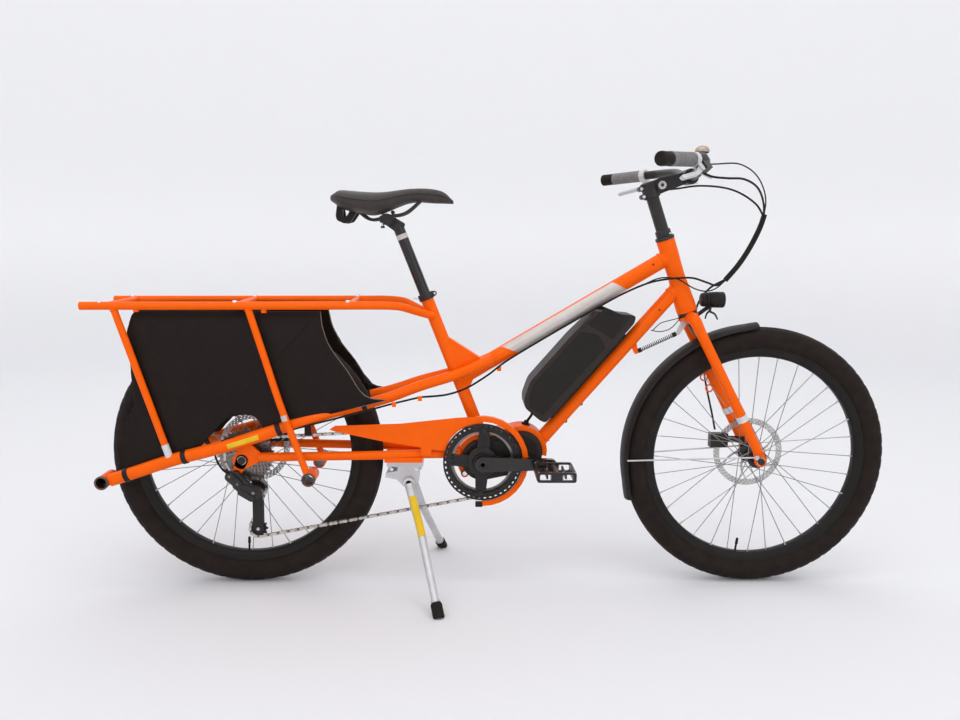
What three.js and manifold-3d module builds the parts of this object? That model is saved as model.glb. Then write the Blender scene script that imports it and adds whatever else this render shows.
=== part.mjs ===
// Longtail cargo bike, in millimetres: X forward, Y to the rider's left, Z up.
// Every place is measured from the rear axle's foot on the ground. The last lines move the whole bike
// so that its origin lies on the ground, under the middle of its box.
// Names ending in X, Z or Half give places along X, along Z and half widths along Y.

import * as THREE from 'three';
import { mergeVertices } from 'three/addons/utils/BufferGeometryUtils.js';
import Module from 'manifold-3d';

const wasm = await Module();
wasm.setup();

// Clearances
const touch = 0.3;
const running = 0.8;
const overrun = 6;
const weldDistance = 0.0001;

// Wheels
const wheelBase = 1288;
const beadRadius = 279.5;
const rim = { depth: 21, half: 16, innerHalf: 9, shoulder: 11, segments: 36 };
const frontTyre = { section: 54.5, half: 27.5 };
const tyreWall = 4;
const rearTyre = { section: 59, half: 30 };
const spokes = { perSide: 16, thickness: 2, laneGap: 3, rimLane: 4, slant: 67.5 };
const frontHub = {
  half: 50, flangeHalf: 30, flangeRadius: 24, bodyRadius: 15, axleRadius: 4.8, nutRadius: 9,
  nutLength: 8, dropout: 6,
};
const rearHub = {
  half: 67.5, flangeHalf: 29, flangeRadius: 30, bodyRadius: 17, axleRadius: 5, nutRadius: 9.5,
  nutLength: 9, dropout: 7,
};
const flangeThickness = 3.4;
const rotor = {
  radius: 90, ringWidth: 15, hubRadius: 22, thickness: 2, windows: 6, frontY: 39, rearY: 54.5,
};
const rotorArmHalfAngle = 9;
const caliper = {
  length: 46, height: 36, slot: 2.2, cheek: 8, frontX: 1208, frontZ: 366, rearX: 66, rearZ: 375,
  armHalf: 8,
};

// Main frame
const head = {
  angle: 70.5, lowX: 1098, lowZ: 706, length: 186, topRadius: 22.5, waistRadius: 20.5,
  lowRadius: 25,
};
const headBore = 17;
const cup = { height: 9, radius: 24 };
const topTube = { radius: 19.5, upHead: 145, lowX: 530, lowZ: 531.4 };
const downTube = { radius: 17.5, upHead: 67, lowX: 732, lowZ: 368 };
const seatTube = {
  radius: 15.9, bore: 14.4, boreDepth: 330, topX: 446, topZ: 738, lowX: 600, lowZ: 352,
};
const gusset = { half: 13, seatX: 490, seatZ: 645, alongX: 586, alongZ: 584 };
const sideTube = {
  radius: 13, tailRadius: 15.5, half: 90, frontX: 612, frontZ: 584, tailX: -342, tailZ: 283,
};
const stay = {
  radius: 11, rearX: 40, rearHalf: 71.3, midX: 330, midHalf: 50, endX: 533, endHalf: 31,
  riseOverAxle: 7.5,
};
const dropout = {
  thickness: 7, radius: 22, armX: 10, armZ: 372, armRadius: 14, hangerX: -15, hangerZ: 303,
  hangerRadius: 10,
};

// Rack
const rail = { radius: 9.7, half: 97, rearX: -356, rearZ: 716, bendX: 330, bendZ: 722 };
const railFront = {
  shoulderX: 385, shoulderZ: 719, shoulderHalf: 82, endX: 462, endZ: 691, endHalf: 15,
};
const crossTube = { radius: 8, rearX: -300, middleX: 3, frontX: 267 };
const endPlate = { length: 42, thickness: 8, inset: 10 };
const strut = { radius: 8.4, rearTopX: -281, rearLowX: -162, rearLowZ: 334 };
const midStrut = { topX: 31, kneeX: 104, kneeZ: 480, half: 102, lowX: 167 };
const socket = {
  radius: 16, bore: 13, innerHalf: 46, outerHalf: 111, midX: 167, midZ: 300, rearX: -327,
  rearZ: 291,
};

// Side panels
const skirt = { rearX: -288, frontX: 351, lowZ: 300, topZ: 704, thickness: 3, strutGap: 1 };

// Drive
const bottomBracket = { x: 589, z: 331, spindleRadius: 11.5, spindleHalf: 66.4 };
const pitch = 12.7;
const teeth = { ring: 44, cog: 24, pulley: 11, largest: 34 };
const chainSize = { y: -47, width: 7.4, half: 3.6 };
const ring = {
  thickness: 3, chainGap: 1, inner: 72, guardInner: 76, guardOuter: 98, guardY: -58.5,
  guardThickness: 3,
};
const spider = {
  arms: 4, reach: 77, hubRadius: 25, rootRadius: 16, tipRadius: 6, innerY: -42, turn: 87,
};
const crank = { length: 170, innerHalf: 66.7, outerHalf: 82, hubRadius: 19, tipRadius: 13, bevel: 2 };
const pedal = {
  length: 92, innerHalf: 97, outerHalf: 189, thickness: 24, border: 9, spindleRadius: 7.5,
};
const motor = { radius: 52, bevel: 6, frontX: 688, frontZ: 352, rightHalf: 38, leftHalf: 48 };
const bracket = { wall: 12, half: 28, rearAngle: 221, frontAngle: -12, lugRadius: 10 };
const cassette = {
  innerY: -32.5, stepY: -36.5, coneRadius: 52, outerRadius: 22, laneInnerY: -42.4,
  laneOuterY: -51.6, outerY: -62, bodyRadius: 17.6, laneGap: 1.2,
};
const upperPulley = { x: 30, z: 262 };
const lowerPulley = { x: 29, z: 156 };
const cage = { thickness: 1.5, gap: 0.8, radius: 13, pinRadius: 4 };
const pulleyHalf = 2.6;
const derailleur = { thickness: 13, bodyRadius: 12, kneeX: 4, kneeZ: 280, bossRadius: 10 };
const guard = {
  thickness: 2.5, outerY: -54.2, bandDepth: 14, bandInner: 101.5, bandOuter: 115, plateInner: 99,
  tailX: 211, topAngle: 100, endAngle: -90,
};
const guardFoot = { rearX: 436, frontX: 462, top: 384, depth: 16 };

// Battery, in the down tube's own frame: u up the tube, w out from its axis
const battery = { lowU: 49, highU: 400, lowW: 28, highW: 127, half: 42, bevel: 9 };
const batteryRail = { half: 14, startU: 70, endU: 350 };

// Kickstand
const standPlate = { rearX: 345, frontX: 440, half: 56, thickness: 12 };
const standBody = { rearX: 372, frontX: 428, half: 30 };
const stand = {
  pivotX: 405, pivotZ: 272, hubHalf: 45, kneeX: 436, kneeZ: 165, kneeHalf: 80, footX: 483,
  footHalf: 214,
};
const standSize = { upperRadius: 11, lowerRadius: 9.5, axleRadius: 8, footRadius: 14, footLength: 34 };

// Fork and front
const steererRadius = 14.3;
const crown = { drop: 17, radius: 15, half: 50 };
const blade = { topRadius: 14.5, lowRadius: 12, lowHalf: 56, endUp: 24, endBack: 8 };
const forkEnd = { thickness: 6, radius: 15 };
const fender = {
  clearance: 6, thickness: 3, half: 33, lip: 12, fromAngle: 92, toAngle: 199, crownAngle: 117,
  stayAngle: 181, bracketAngle: 1.4,
};
const fenderStay = { radius: 2.2, endUp: 11, endBack: 12, tabRadius: 6, tabHalf: 61 };
const headlight = { rearX: 1131, frontX: 1190, z: 735, radius: 20, rearRadius: 14 };
const lightBracket = { half: 9, radius: 5, footX: 1116, footZ: 688, topX: 1152, topZ: 717 };
const damper = {
  frameX: 974, frameZ: 602, forkX: 1078, forkZ: 651, radius: 4.6, wire: 0.9, turns: 12, tabHalf: 3,
  tabRadius: 5, tabRoot: 8,
};
const damperRoots = { frameX: 966, frameZ: 626, forkX: 1096, forkZ: 684 };

// Cockpit
const riser = {
  radius: 15.6, collarRadius: 19, collarHeight: 14, length: 138, clampRadius: 20, clampHeight: 40,
};
const stemArm = {
  half: 14, rootRadius: 18, pivotX: 1018.5, pivotZ: 1013, pivotHalf: 18, barX: 1087, barZ: 1034,
  clampHalf: 22, clampRadius: 19,
};
const bar = { radius: 11.1, clampRadius: 12.7, clampHalf: 30, endX: 937, endHalf: 325, endZ: 1046 };
const barKnee = { x: 1060, half: 206, z: 1055.5 };
const barShoulder = { x: 1087, half: 120, z: 1052 };
const barRise = { x: 1089, half: 60, z: 1038 };
const grip = { length: 118, radius: 15.5, cap: 4 };
const perch = { along: 43, ringLength: 16, ringRadius: 16.5, reach: 26, half: 7.5, eyeRadius: 8 };
const brakeLever = {
  length: 96, hubRadius: 7, tipRadius: 4.5, offset: 50, thickness: 8, kneeAlong: 30,
  kneeOffset: 40,
};
const leverAim = { forward: 0.457, drop: 0.786 };
const shifter = {
  along: 20, length: 24, half: 11, drop: 30, pivotOffset: 20, leverLength: 34, leverRadius: 4,
  hubRadius: 7, leverThickness: 4, turn: 210,
};
const bell = {
  x: 1088, half: 96, barZ: 1046.5, bandRadius: 14, bandHalf: 5, baseRadius: 7, domeRadius: 17,
  domeHeight: 15, domeZ: 1083,
};
const bellLever = { length: 24, hubRadius: 9, tipRadius: 4, thickness: 3, drop: 2 };

// Seat
const post = {
  radius: 13.6, insertion: 230, rise: 181, clampX: 353, clampZ: 924, clampRadius: 14, neckHalf: 13,
  clampHalf: 27,
};
const collar = { height: 20, lip: 3, radius: 20, boltRadius: 5, boltHalf: 9 };
const saddle = { rearX: 223, noseX: 513, half: 92, topZ: 999, baseZ: 932 };
const saddleRail = {
  radius: 3.6, half: 22, rearX: 285, rearHalf: 30, rearZ: 942, lowX: 314, lowZ: 923, kneeX: 396, kneeZ: 938.5,
  frontX: 433, frontHalf: 14, frontZ: 968,
};

// Cable radii
const hoseRadius = 2.5;
const wireRadius = 1.6;
const sheathRadius = 6.5;

// Colours
const paint = (color, roughness, metalness) =>
  new THREE.MeshStandardMaterial({ color, roughness, metalness });
const orangePaint = paint(0xf05a0a, 0.3, 0);
const blackPaint = paint(0x141414, 0.45, 0.1);
const blackPlastic = paint(0x1a1a1b, 0.6, 0);
const blackRubber = paint(0x161616, 0.85, 0);
const silver = paint(0xb9bcbf, 0.35, 0.9);
const steel = paint(0x8f9396, 0.3, 1);
const brownBlack = paint(0x2b2420, 0.65, 0);

// Vectors and places
const vec = (x, y, z) => new THREE.Vector3(x, y, z);
const between = (a, b, share) => a.clone().lerp(b, share);
const toRadians = (degrees) => (degrees * Math.PI) / 180;
const polar = (x, z, radius, degrees) => [
  x + radius * Math.cos(toRadians(degrees)),
  z + radius * Math.sin(toRadians(degrees)),
];
const pitchRadius = (count) => (count * pitch) / (2 * Math.PI);

const rearAxleZ = beadRadius + rearTyre.section;
const stayZ = rearAxleZ + stay.riseOverAxle;
const frontAxleZ = beadRadius + frontTyre.section;
const steerUp = vec(-Math.cos(toRadians(head.angle)), 0, Math.sin(toRadians(head.angle)));
const headLow = vec(head.lowX, 0, head.lowZ);
const onHead = (distance) => headLow.clone().addScaledVector(steerUp, distance);
const seatTop = vec(seatTube.topX, 0, seatTube.topZ);
const seatLow = vec(seatTube.lowX, 0, seatTube.lowZ);
const downTop = onHead(downTube.upHead);
const downLow = vec(downTube.lowX, 0, downTube.lowZ);
const downDirection = downTop.clone().sub(downLow).normalize();
const downNormal = vec(-downDirection.z, 0, downDirection.x);
const alongDown = (u, w) => {
  const place = downLow.clone().addScaledVector(downDirection, u).addScaledVector(downNormal, w);
  return [place.x, place.z];
};

// Solids from geometries
function signedVolume(positions, triangles) {
  const a = vec(0, 0, 0);
  const b = vec(0, 0, 0);
  const c = vec(0, 0, 0);
  let sum = 0;
  for (let i = 0; i < triangles.length; i += 3) {
    a.fromArray(positions, 3 * triangles[i]);
    b.fromArray(positions, 3 * triangles[i + 1]);
    c.fromArray(positions, 3 * triangles[i + 2]);
    sum += a.dot(b.cross(c));
  }
  return sum;
}

function solid(geometry) {
  const bare = geometry.clone();
  bare.deleteAttribute('normal');
  bare.deleteAttribute('uv');
  const merged = mergeVertices(bare, weldDistance);
  const positions = merged.attributes.position.array;
  const index = merged.index.array;
  let triangles = [];
  for (let i = 0; i < index.length; i += 3) {
    const [a, b, c] = [index[i], index[i + 1], index[i + 2]];
    if (a !== b && b !== c && c !== a) triangles.push(a, b, c);
  }
  if (signedVolume(positions, triangles) < 0) triangles = triangles.reverse();
  const mesh = new wasm.Mesh({
    numProp: 3,
    vertProperties: new Float32Array(positions),
    triVerts: new Uint32Array(triangles),
  });
  return new wasm.Manifold(mesh);
}

const join = (...pieces) => pieces.flat().reduce((whole, piece) => whole.add(piece));
const cut = (whole, ...cutters) => cutters.flat().reduce((rest, cutter) => rest.subtract(cutter), whole);

// Each maker below returns a closed solid
function aimed(geometry, from, to) {
  const direction = to.clone().sub(from).normalize();
  geometry.applyQuaternion(new THREE.Quaternion().setFromUnitVectors(vec(0, 1, 0), direction));
  return geometry.translate(from.x, from.y, from.z);
}

function rod(from, to, startRadius, endRadius = startRadius, sides = 10) {
  const length = from.distanceTo(to);
  const geometry = new THREE.CylinderGeometry(endRadius, startRadius, length, sides);
  geometry.translate(0, length / 2, 0);
  return solid(aimed(geometry, from, to));
}

function turned(profile, from, to, segments = 16) {
  const points = profile.map(([radius, height]) => new THREE.Vector2(radius, height));
  return solid(aimed(new THREE.LatheGeometry(points, segments), from, to));
}

function wheelRing(profile, x, z, segments) {
  const points = [...profile, profile[0]].map(([radius, y]) => new THREE.Vector2(radius, y));
  return solid(new THREE.LatheGeometry(points, segments).translate(x, 0, z));
}

function spindle(profile, x, z, segments) {
  const points = profile.map(([radius, y]) => new THREE.Vector2(radius, y));
  return solid(new THREE.LatheGeometry(points, segments).translate(x, 0, z));
}

const axleRod = (x, z, radius, lowY, highY, sides = 12) =>
  rod(vec(x, lowY, z), vec(x, highY, z), radius, radius, sides);

const sectionOf = (radius, sides) => {
  const points = Array.from({ length: sides }, (_, i) => {
    const angle = (2 * Math.PI * i) / sides;
    return new THREE.Vector2(radius * Math.cos(angle), radius * Math.sin(angle));
  });
  return new THREE.Shape(points);
};

function tube(points, radius, steps = 12, sides = 8) {
  const path = new THREE.CatmullRomCurve3(points, false, 'centripetal');
  return solid(new THREE.ExtrudeGeometry(sectionOf(radius, sides), { steps, extrudePath: path }));
}

// An outline of [x, z] points, or a Shape, standing between two values of Y
function plate(outline, lowY, highY, bevel = 0) {
  const shape = outline.isShape ? outline : new THREE.Shape(outline.map(([x, z]) => new THREE.Vector2(x, z)));
  const geometry = new THREE.ExtrudeGeometry(shape, {
    depth: highY - lowY - 2 * bevel,
    bevelEnabled: bevel > 0,
    bevelThickness: bevel,
    bevelSize: bevel,
    bevelOffset: -bevel,
    bevelSegments: 1,
    curveSegments: 12,
  });
  return solid(geometry.rotateX(Math.PI / 2).translate(0, highY - bevel, 0));
}

const block = (lowX, lowY, lowZ, highX, highY, highZ) => {
  const geometry = new THREE.BoxGeometry(highX - lowX, highY - lowY, highZ - lowZ);
  return solid(geometry.translate((lowX + highX) / 2, (lowY + highY) / 2, (lowZ + highZ) / 2));
};

// The outline of a band stretched round circles, each given as [x, z, radius]
function stretched(circles, points = 16) {
  const all = circles.flatMap(([x, z, radius]) =>
    Array.from({ length: points }, (_, i) => polar(x, z, radius, (360 * i) / points)));
  all.sort((p, q) => p[0] - q[0] || p[1] - q[1]);
  const turn = (o, p, q) => (p[0] - o[0]) * (q[1] - o[1]) - (p[1] - o[1]) * (q[0] - o[0]);
  const half = (list) => {
    const chosen = [];
    for (const p of list) {
      while (chosen.length > 1 && turn(chosen.at(-2), chosen.at(-1), p) <= 0) chosen.pop();
      chosen.push(p);
    }
    return chosen.slice(0, -1);
  };
  return [...half(all), ...half(all.reverse())];
}

const disc = (x, z, radius, lowY, highY, points = 28) =>
  plate(stretched([[x, z, radius]], points), lowY, highY);

const geometryOf = (piece) => {
  const mesh = piece.getMesh();
  const geometry = new THREE.BufferGeometry();
  geometry.setAttribute('position', new THREE.BufferAttribute(new Float32Array(mesh.vertProperties), 3));
  geometry.setIndex(new THREE.BufferAttribute(new Uint32Array(mesh.triVerts), 1));
  return geometry;
};

const mirrored = (piece) => solid(geometryOf(piece).scale(1, -1, 1));

// Sets down a piece drawn in X, Y and Z so that these become the directions given
const placed = (piece, origin, alongX, alongY, alongZ) => {
  const matrix = new THREE.Matrix4().makeBasis(alongX, alongY, alongZ).setPosition(origin);
  return solid(geometryOf(piece).applyMatrix4(matrix));
};

// The scene graph: one group for each body that moves as one
const bike = new THREE.Group();
const bodies = {};

function add(bodyName, name, piece, material) {
  if (!bodies[bodyName]) {
    bodies[bodyName] = new THREE.Group();
    bodies[bodyName].name = bodyName;
    bike.add(bodies[bodyName]);
  }
  const geometry = geometryOf(piece);
  geometry.computeVertexNormals();
  const node = new THREE.Mesh(geometry, material);
  node.name = name;
  bodies[bodyName].add(node);
}

// Main frame solids, each grown by a gap when it cuts its neighbour
function headSolid(gap) {
  const profile = [
    [0, -cup.height - gap],
    [cup.radius + gap, -cup.height - gap],
    [cup.radius + gap, 0],
    [head.lowRadius + gap, 0],
    [head.lowRadius + gap, head.length / 4],
    [head.waistRadius + gap, head.length / 2],
    [head.topRadius + gap, head.length * 3 / 4],
    [head.topRadius + gap, head.length],
    [cup.radius + gap, head.length],
    [cup.radius + gap, head.length + cup.height + gap],
    [0, head.length + cup.height + gap],
  ];
  return turned(profile, headLow, onHead(head.length), 14);
}

const seatSolid = (gap) => rod(seatTop, seatLow, seatTube.radius + gap, seatTube.radius + gap, 14);
const topLow = vec(topTube.lowX, 0, topTube.lowZ);
const topSolid = (gap) => rod(onHead(topTube.upHead), topLow, topTube.radius + gap, topTube.radius + gap, 14);

// Shares of the side tube's length, half width and rise, from its front end to its tail
const sideShares = [
  [1, 0.22, 1],
  [0.904, 0.334, 0.874],
  [0.813, 0.467, 0.787],
  [0.726, 0.6, 0.69],
  [0.571, 0.8, 0.564],
  [0.47, 0.911, 0.468],
  [0.421, 0.967, 0.415],
  [0.318, 1, 0.312],
  [0.189, 1, 0.201],
  [0.085, 1, 0.09],
  [0, 1, 0],
];
const sideThickFrom = 5;

function sideRoute(side) {
  const { half, frontX, frontZ, tailX, tailZ } = sideTube;
  const places = sideShares.map(([x, y, z]) =>
    vec(tailX + x * (frontX - tailX), side * y * half, tailZ + z * (frontZ - tailZ)));
  places[1].y = side * (seatTube.radius + sideTube.radius + 4 * touch);
  return places;
}

function sideSolid(side, gap) {
  const route = sideRoute(side);
  return join(
    tube(route.slice(0, sideThickFrom + 2), sideTube.radius + gap, 10),
    tube(route.slice(sideThickFrom), sideTube.tailRadius + gap, 6),
  );
}

// The outline that a wall makes round both shafts of the drive
const driveOutline = (radius) => stretched([
  [bottomBracket.x, bottomBracket.z, radius],
  [motor.frontX, motor.frontZ, radius],
], 28);

function bracketSolid(gap) {
  const outer = motor.radius + bracket.wall;
  const half = bracket.half + gap;
  const rearFar = polar(bottomBracket.x, bottomBracket.z, 2 * outer, bracket.rearAngle);
  const frontFar = polar(motor.frontX, motor.frontZ, 2 * outer, bracket.frontAngle);
  const floorZ = rearFar[1] - 2 * outer;
  const open = plate([
    [bottomBracket.x, bottomBracket.z],
    rearFar,
    [rearFar[0], floorZ],
    [frontFar[0], floorZ],
    frontFar,
    [motor.frontX, motor.frontZ],
  ], -half - overrun, half + overrun);
  const core = plate(driveOutline(motor.radius + touch), -half - overrun, half + overrun);
  const lugPlace = polar(bottomBracket.x, bottomBracket.z, outer - bracket.wall / 2, bracket.rearAngle);
  const lug = disc(...lugPlace, bracket.lugRadius + gap, -half, half, 12);
  return join(
    cut(plate(driveOutline(outer + gap), -half, half), core, open),
    cut(lug, core),
  );
}
const driveCore = plate(driveOutline(motor.radius + bracket.wall / 2), -bracket.half, bracket.half);

const stayShares = { forward: 0.55, inward: 0.63 };
function staySolid(side, gap) {
  const rear = vec(stay.rearX, side * stay.rearHalf, stayZ);
  const middle = vec(stay.midX, side * stay.midHalf, stayZ);
  const end = vec(stay.endX, side * stay.endHalf, stayZ);
  const bend = between(middle, end, stayShares.forward);
  bend.y = side * (stay.midHalf + stayShares.inward * (stay.endHalf - stay.midHalf));
  return tube([rear, between(rear, middle, 0.5), middle, bend, end], stay.radius + gap, 8);
}

function dropoutSolid(side) {
  const inner = rearHub.half + touch;
  const outer = inner + dropout.thickness;
  const [low, high] = side > 0 ? [inner, outer] : [-outer, -inner];
  const hub = [0, rearAxleZ, dropout.radius];
  const arm = [dropout.armX, dropout.armZ, dropout.armRadius];
  const hanger = [dropout.hangerX, dropout.hangerZ, dropout.hangerRadius];
  const tab = plate(stretched([hub, arm, [stay.rearX, stayZ, stay.radius]]), low, high);
  const whole = side > 0 ? tab : join(tab, plate(stretched([hub, hanger]), low, high));
  return cut(whole, axleRod(0, rearAxleZ, rearHub.axleRadius + running, low - overrun, high + overrun));
}

const railHeight = (x) =>
  rail.rearZ + ((rail.bendZ - rail.rearZ) * (x - rail.rearX)) / (rail.bendX - rail.rearX);

const railStraightShare = 0.98;
function railSolid(side, gap) {
  const rear = vec(rail.rearX, side * rail.half, rail.rearZ);
  const bend = vec(rail.bendX, side * rail.half, rail.bendZ);
  const shoulder = vec(railFront.shoulderX, side * railFront.shoulderHalf, railFront.shoulderZ);
  const end = vec(railFront.endX, side * railFront.endHalf, railFront.endZ);
  return join(
    rod(rear, bend, rail.radius + gap),
    tube(
      [between(rear, bend, railStraightShare), bend, shoulder, between(shoulder, end, 0.5), end],
      rail.radius + gap, 7),
  );
}

function socketSolid(side, [x, z], gap) {
  const inner = socket.innerHalf - gap;
  const outer = socket.outerHalf + gap;
  const [low, high] = side > 0 ? [inner, outer] : [-outer, -inner];
  return axleRod(x, z, socket.radius + gap, low, high);
}

const strutLowHalf = (rail.half + sideTube.half) / 2;
function strutSolid(side, gap) {
  const top = vec(strut.rearTopX, side * rail.half, railHeight(strut.rearTopX));
  const low = vec(strut.rearLowX, side * strutLowHalf, strut.rearLowZ);
  return rod(top, low, strut.radius + gap);
}

function midStrutSolid(side, gap) {
  const top = vec(midStrut.topX, side * rail.half, railHeight(midStrut.topX));
  const knee = vec(midStrut.kneeX, side * midStrut.half, midStrut.kneeZ);
  const low = vec(midStrut.lowX, side * midStrut.half, socket.midZ);
  return tube([top, between(top, knee, 0.5), knee, between(knee, low, 0.5), low], strut.radius + gap, 4);
}

// Main frame
const sides = [[1, 'left'], [-1, 'right']];
const both = [1, -1];
const steererBore = rod(
  onHead(-cup.height - overrun), onHead(head.length + cup.height + overrun), headBore, headBore, 14);
add('frame', 'head_tube', cut(headSolid(0), steererBore), orangePaint);

const damperTab = (x, z, rootX, rootZ) =>
  plate(
    stretched([[x, z, damper.tabRadius], [rootX, rootZ, damper.tabRoot]], 12),
    -damper.tabHalf, damper.tabHalf);
add('frame', 'down_tube', join(
  bracketSolid(0),
  cut(
    join(
      rod(downTop, downLow, downTube.radius, downTube.radius, 12),
      damperTab(damper.frameX, damper.frameZ, damperRoots.frameX, damperRoots.frameZ),
    ),
    headSolid(touch), driveCore),
), orangePaint);

const seatDirection = seatTop.clone().sub(seatLow).normalize();
const onSeat = (distance) => seatTop.clone().addScaledVector(seatDirection, distance);
const seatAxisX = (z) => onSeat((z - seatTube.topZ) / seatDirection.z).x;
const gussetSolid = (gap) => plate([
  [gusset.seatX, gusset.seatZ],
  [seatAxisX(topTube.lowZ), topTube.lowZ],
  [topTube.lowX, topTube.lowZ],
  [gusset.alongX, gusset.alongZ],
], -gusset.half - gap, gusset.half + gap);
add('frame', 'top_tube', cut(
  join(topSolid(0), gussetSolid(0)), headSolid(touch), seatSolid(touch)), orangePaint);

add('frame', 'seat_tube', cut(
  seatSolid(0), rod(onSeat(overrun), onSeat(-seatTube.boreDepth), seatTube.bore, seatTube.bore, 12),
  bracketSolid(touch), driveCore), orangePaint);

const railCutters = both.map((side) => railSolid(side, touch));
const sideCutters = both.map((side) => sideSolid(side, touch));
const [middleSocket, tailSocket] = [[socket.midX, socket.midZ], [socket.rearX, socket.rearZ]];
const socketBore = ([x, z]) =>
  axleRod(x, z, socket.bore, -socket.outerHalf - overrun, socket.outerHalf + overrun);
for (const [side, word] of sides) {
  add('frame', `side_tube_${word}`, cut(
    join(sideSolid(side, 0), socketSolid(side, tailSocket, 0)),
    socketBore(tailSocket), topSolid(touch), gussetSolid(touch), seatSolid(touch)), orangePaint);
}
const standTop = stayZ - stay.radius / 2;
add('frame', 'chainstays', cut(
  join(
    both.map((side) => join(staySolid(side, 0), dropoutSolid(side))),
    block(standPlate.rearX, -standPlate.half, standTop - standPlate.thickness,
      standPlate.frontX, standPlate.half, standTop),
  ),
  sideCutters, bracketSolid(touch)), orangePaint);

// Rack: each rail with its struts and its footrest socket, and the tubes across
for (const [side, word] of sides) {
  add('frame', `rack_rail_${word}`, cut(
    join(
      railSolid(side, 0), strutSolid(side, 0), midStrutSolid(side, 0), socketSolid(side, middleSocket, 0)),
    socketBore(middleSocket), seatSolid(touch), sideCutters), orangePaint);
}
const crossSolid = (x) => axleRod(x, railHeight(x), crossTube.radius, -rail.half, rail.half, 10);
const tailPlate = block(
  rail.rearX + endPlate.inset, -rail.half, rail.rearZ - endPlate.thickness,
  rail.rearX + endPlate.inset + endPlate.length, rail.half, rail.rearZ);
add('frame', 'rack_tail', cut(join(crossSolid(crossTube.rearX), tailPlate), railCutters), orangePaint);
add('frame', 'rack_cross_middle', cut(crossSolid(crossTube.middleX), railCutters), orangePaint);
add('frame', 'rack_cross_front', cut(crossSolid(crossTube.frontX), railCutters), orangePaint);

// Side panels: the outline in shares of the panel's length and height
const skirtShares = [
  [0.072, 1],
  [0.056, 0.966],
  [0.048, 0.916],
  [0.041, 0.866],
  [0.064, 0.693],
  [0.07, 0.545],
  [0.062, 0.44],
  [0.03, 0.356],
  [0.016, 0.257],
  [0.006, 0.111],
  [0.005, 0.006],
  [0.197, 0.106],
  [0.302, 0.186],
  [0.318, 0.228],
  [0.366, 0.314],
  [0.416, 0.366],
  [0.463, 0.381],
  [0.501, 0.376],
  [0.523, 0.347],
  [0.545, 0.277],
  [0.616, 0.307],
  [0.768, 0.378],
  [1, 0.4725],
  [0.925, 0.5],
  [0.856, 0.656],
  [0.795, 0.79],
  [0.767, 0.896],
  [0.756, 1],
];
const skirtOutline = skirtShares.map(([x, z]) => [
  skirt.rearX + x * (skirt.frontX - skirt.rearX),
  skirt.lowZ + z * (skirt.topZ - skirt.lowZ),
]);
for (const [side, word] of sides) {
  const outer = strutLowHalf - strut.radius - skirt.strutGap;
  const [low, high] = side > 0 ? [outer - skirt.thickness, outer] : [-outer, skirt.thickness - outer];
  add('frame', `skirt_${word}`, cut(plate(skirtOutline, low, high), sideCutters, railCutters), blackPlastic);
}

// Motor and battery
add('frame', 'motor', cut(
  plate(driveOutline(motor.radius), -motor.rightHalf, motor.leftHalf, motor.bevel),
  axleRod(bottomBracket.x, bottomBracket.z, bottomBracket.spindleRadius + running,
    -motor.rightHalf - overrun, motor.leftHalf + overrun),
), brownBlack);

// Shares of the case's length along the down tube and of its height out from it
const batteryShares = [
  [0.016, 0],
  [0.954, 0.02],
  [1, 0.116],
  [0.84, 0.93],
  [0.6, 1],
  [0.166, 1],
  [0.048, 0.833],
  [0, 0.67],
  [0, 0.158],
];
const batteryOutline = batteryShares.map(([u, w]) => alongDown(
  battery.lowU + u * (battery.highU - battery.lowU),
  battery.lowW + w * (battery.highW - battery.lowW)));
const batteryFoot = plate([
  alongDown(batteryRail.startU, downTube.radius),
  alongDown(batteryRail.endU, downTube.radius),
  alongDown(batteryRail.endU, battery.lowW + battery.bevel),
  alongDown(batteryRail.startU, battery.lowW + battery.bevel),
], -batteryRail.half, batteryRail.half);
add('frame', 'battery', cut(
  join(plate(batteryOutline, -battery.half, battery.half, battery.bevel), batteryFoot),
  rod(downTop, downLow, downTube.radius + touch, downTube.radius + touch, 12)), brownBlack);

// Chain: a band stretched round the sprockets, each with the sign of its turn
const chainWheels = [
  { x: 0, z: rearAxleZ, radius: pitchRadius(teeth.cog), turn: 1 },
  { x: bottomBracket.x, z: bottomBracket.z, radius: pitchRadius(teeth.ring), turn: 1 },
  { x: lowerPulley.x, z: lowerPulley.z, radius: pitchRadius(teeth.pulley), turn: 1 },
  { x: upperPulley.x, z: upperPulley.z, radius: pitchRadius(teeth.pulley), turn: -1 },
];

function beltOutline(offset, stepDegrees = 12) {
  const rounds = chainWheels.map((wheel) => ({ ...wheel, radius: wheel.radius + wheel.turn * offset }));
  const leaving = [];
  const arriving = [];
  rounds.forEach((from, i) => {
    const to = rounds[(i + 1) % rounds.length];
    const reach = Math.hypot(to.x - from.x, to.z - from.z);
    const course = Math.atan2(to.z - from.z, to.x - from.x);
    const lean = Math.asin((from.turn * from.radius - to.turn * to.radius) / reach);
    const normal = course + Math.PI / 2 - lean;
    leaving[i] = from.turn > 0 ? normal : normal + Math.PI;
    arriving[(i + 1) % rounds.length] = to.turn > 0 ? normal : normal + Math.PI;
  });
  return rounds.flatMap((wheel, i) => {
    let sweep = (leaving[i] - arriving[i]) % (2 * Math.PI);
    if (wheel.turn > 0 && sweep > 0) sweep -= 2 * Math.PI;
    if (wheel.turn < 0 && sweep < 0) sweep += 2 * Math.PI;
    const count = Math.max(2, Math.ceil(Math.abs(sweep) / toRadians(stepDegrees)));
    return Array.from({ length: count + 1 }, (_, k) => {
      const angle = arriving[i] + (sweep * k) / count;
      return [wheel.x + wheel.radius * Math.cos(angle), wheel.z + wheel.radius * Math.sin(angle)];
    });
  });
}
const chainLow = chainSize.y - chainSize.width / 2;
const chainHigh = chainSize.y + chainSize.width / 2;
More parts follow.
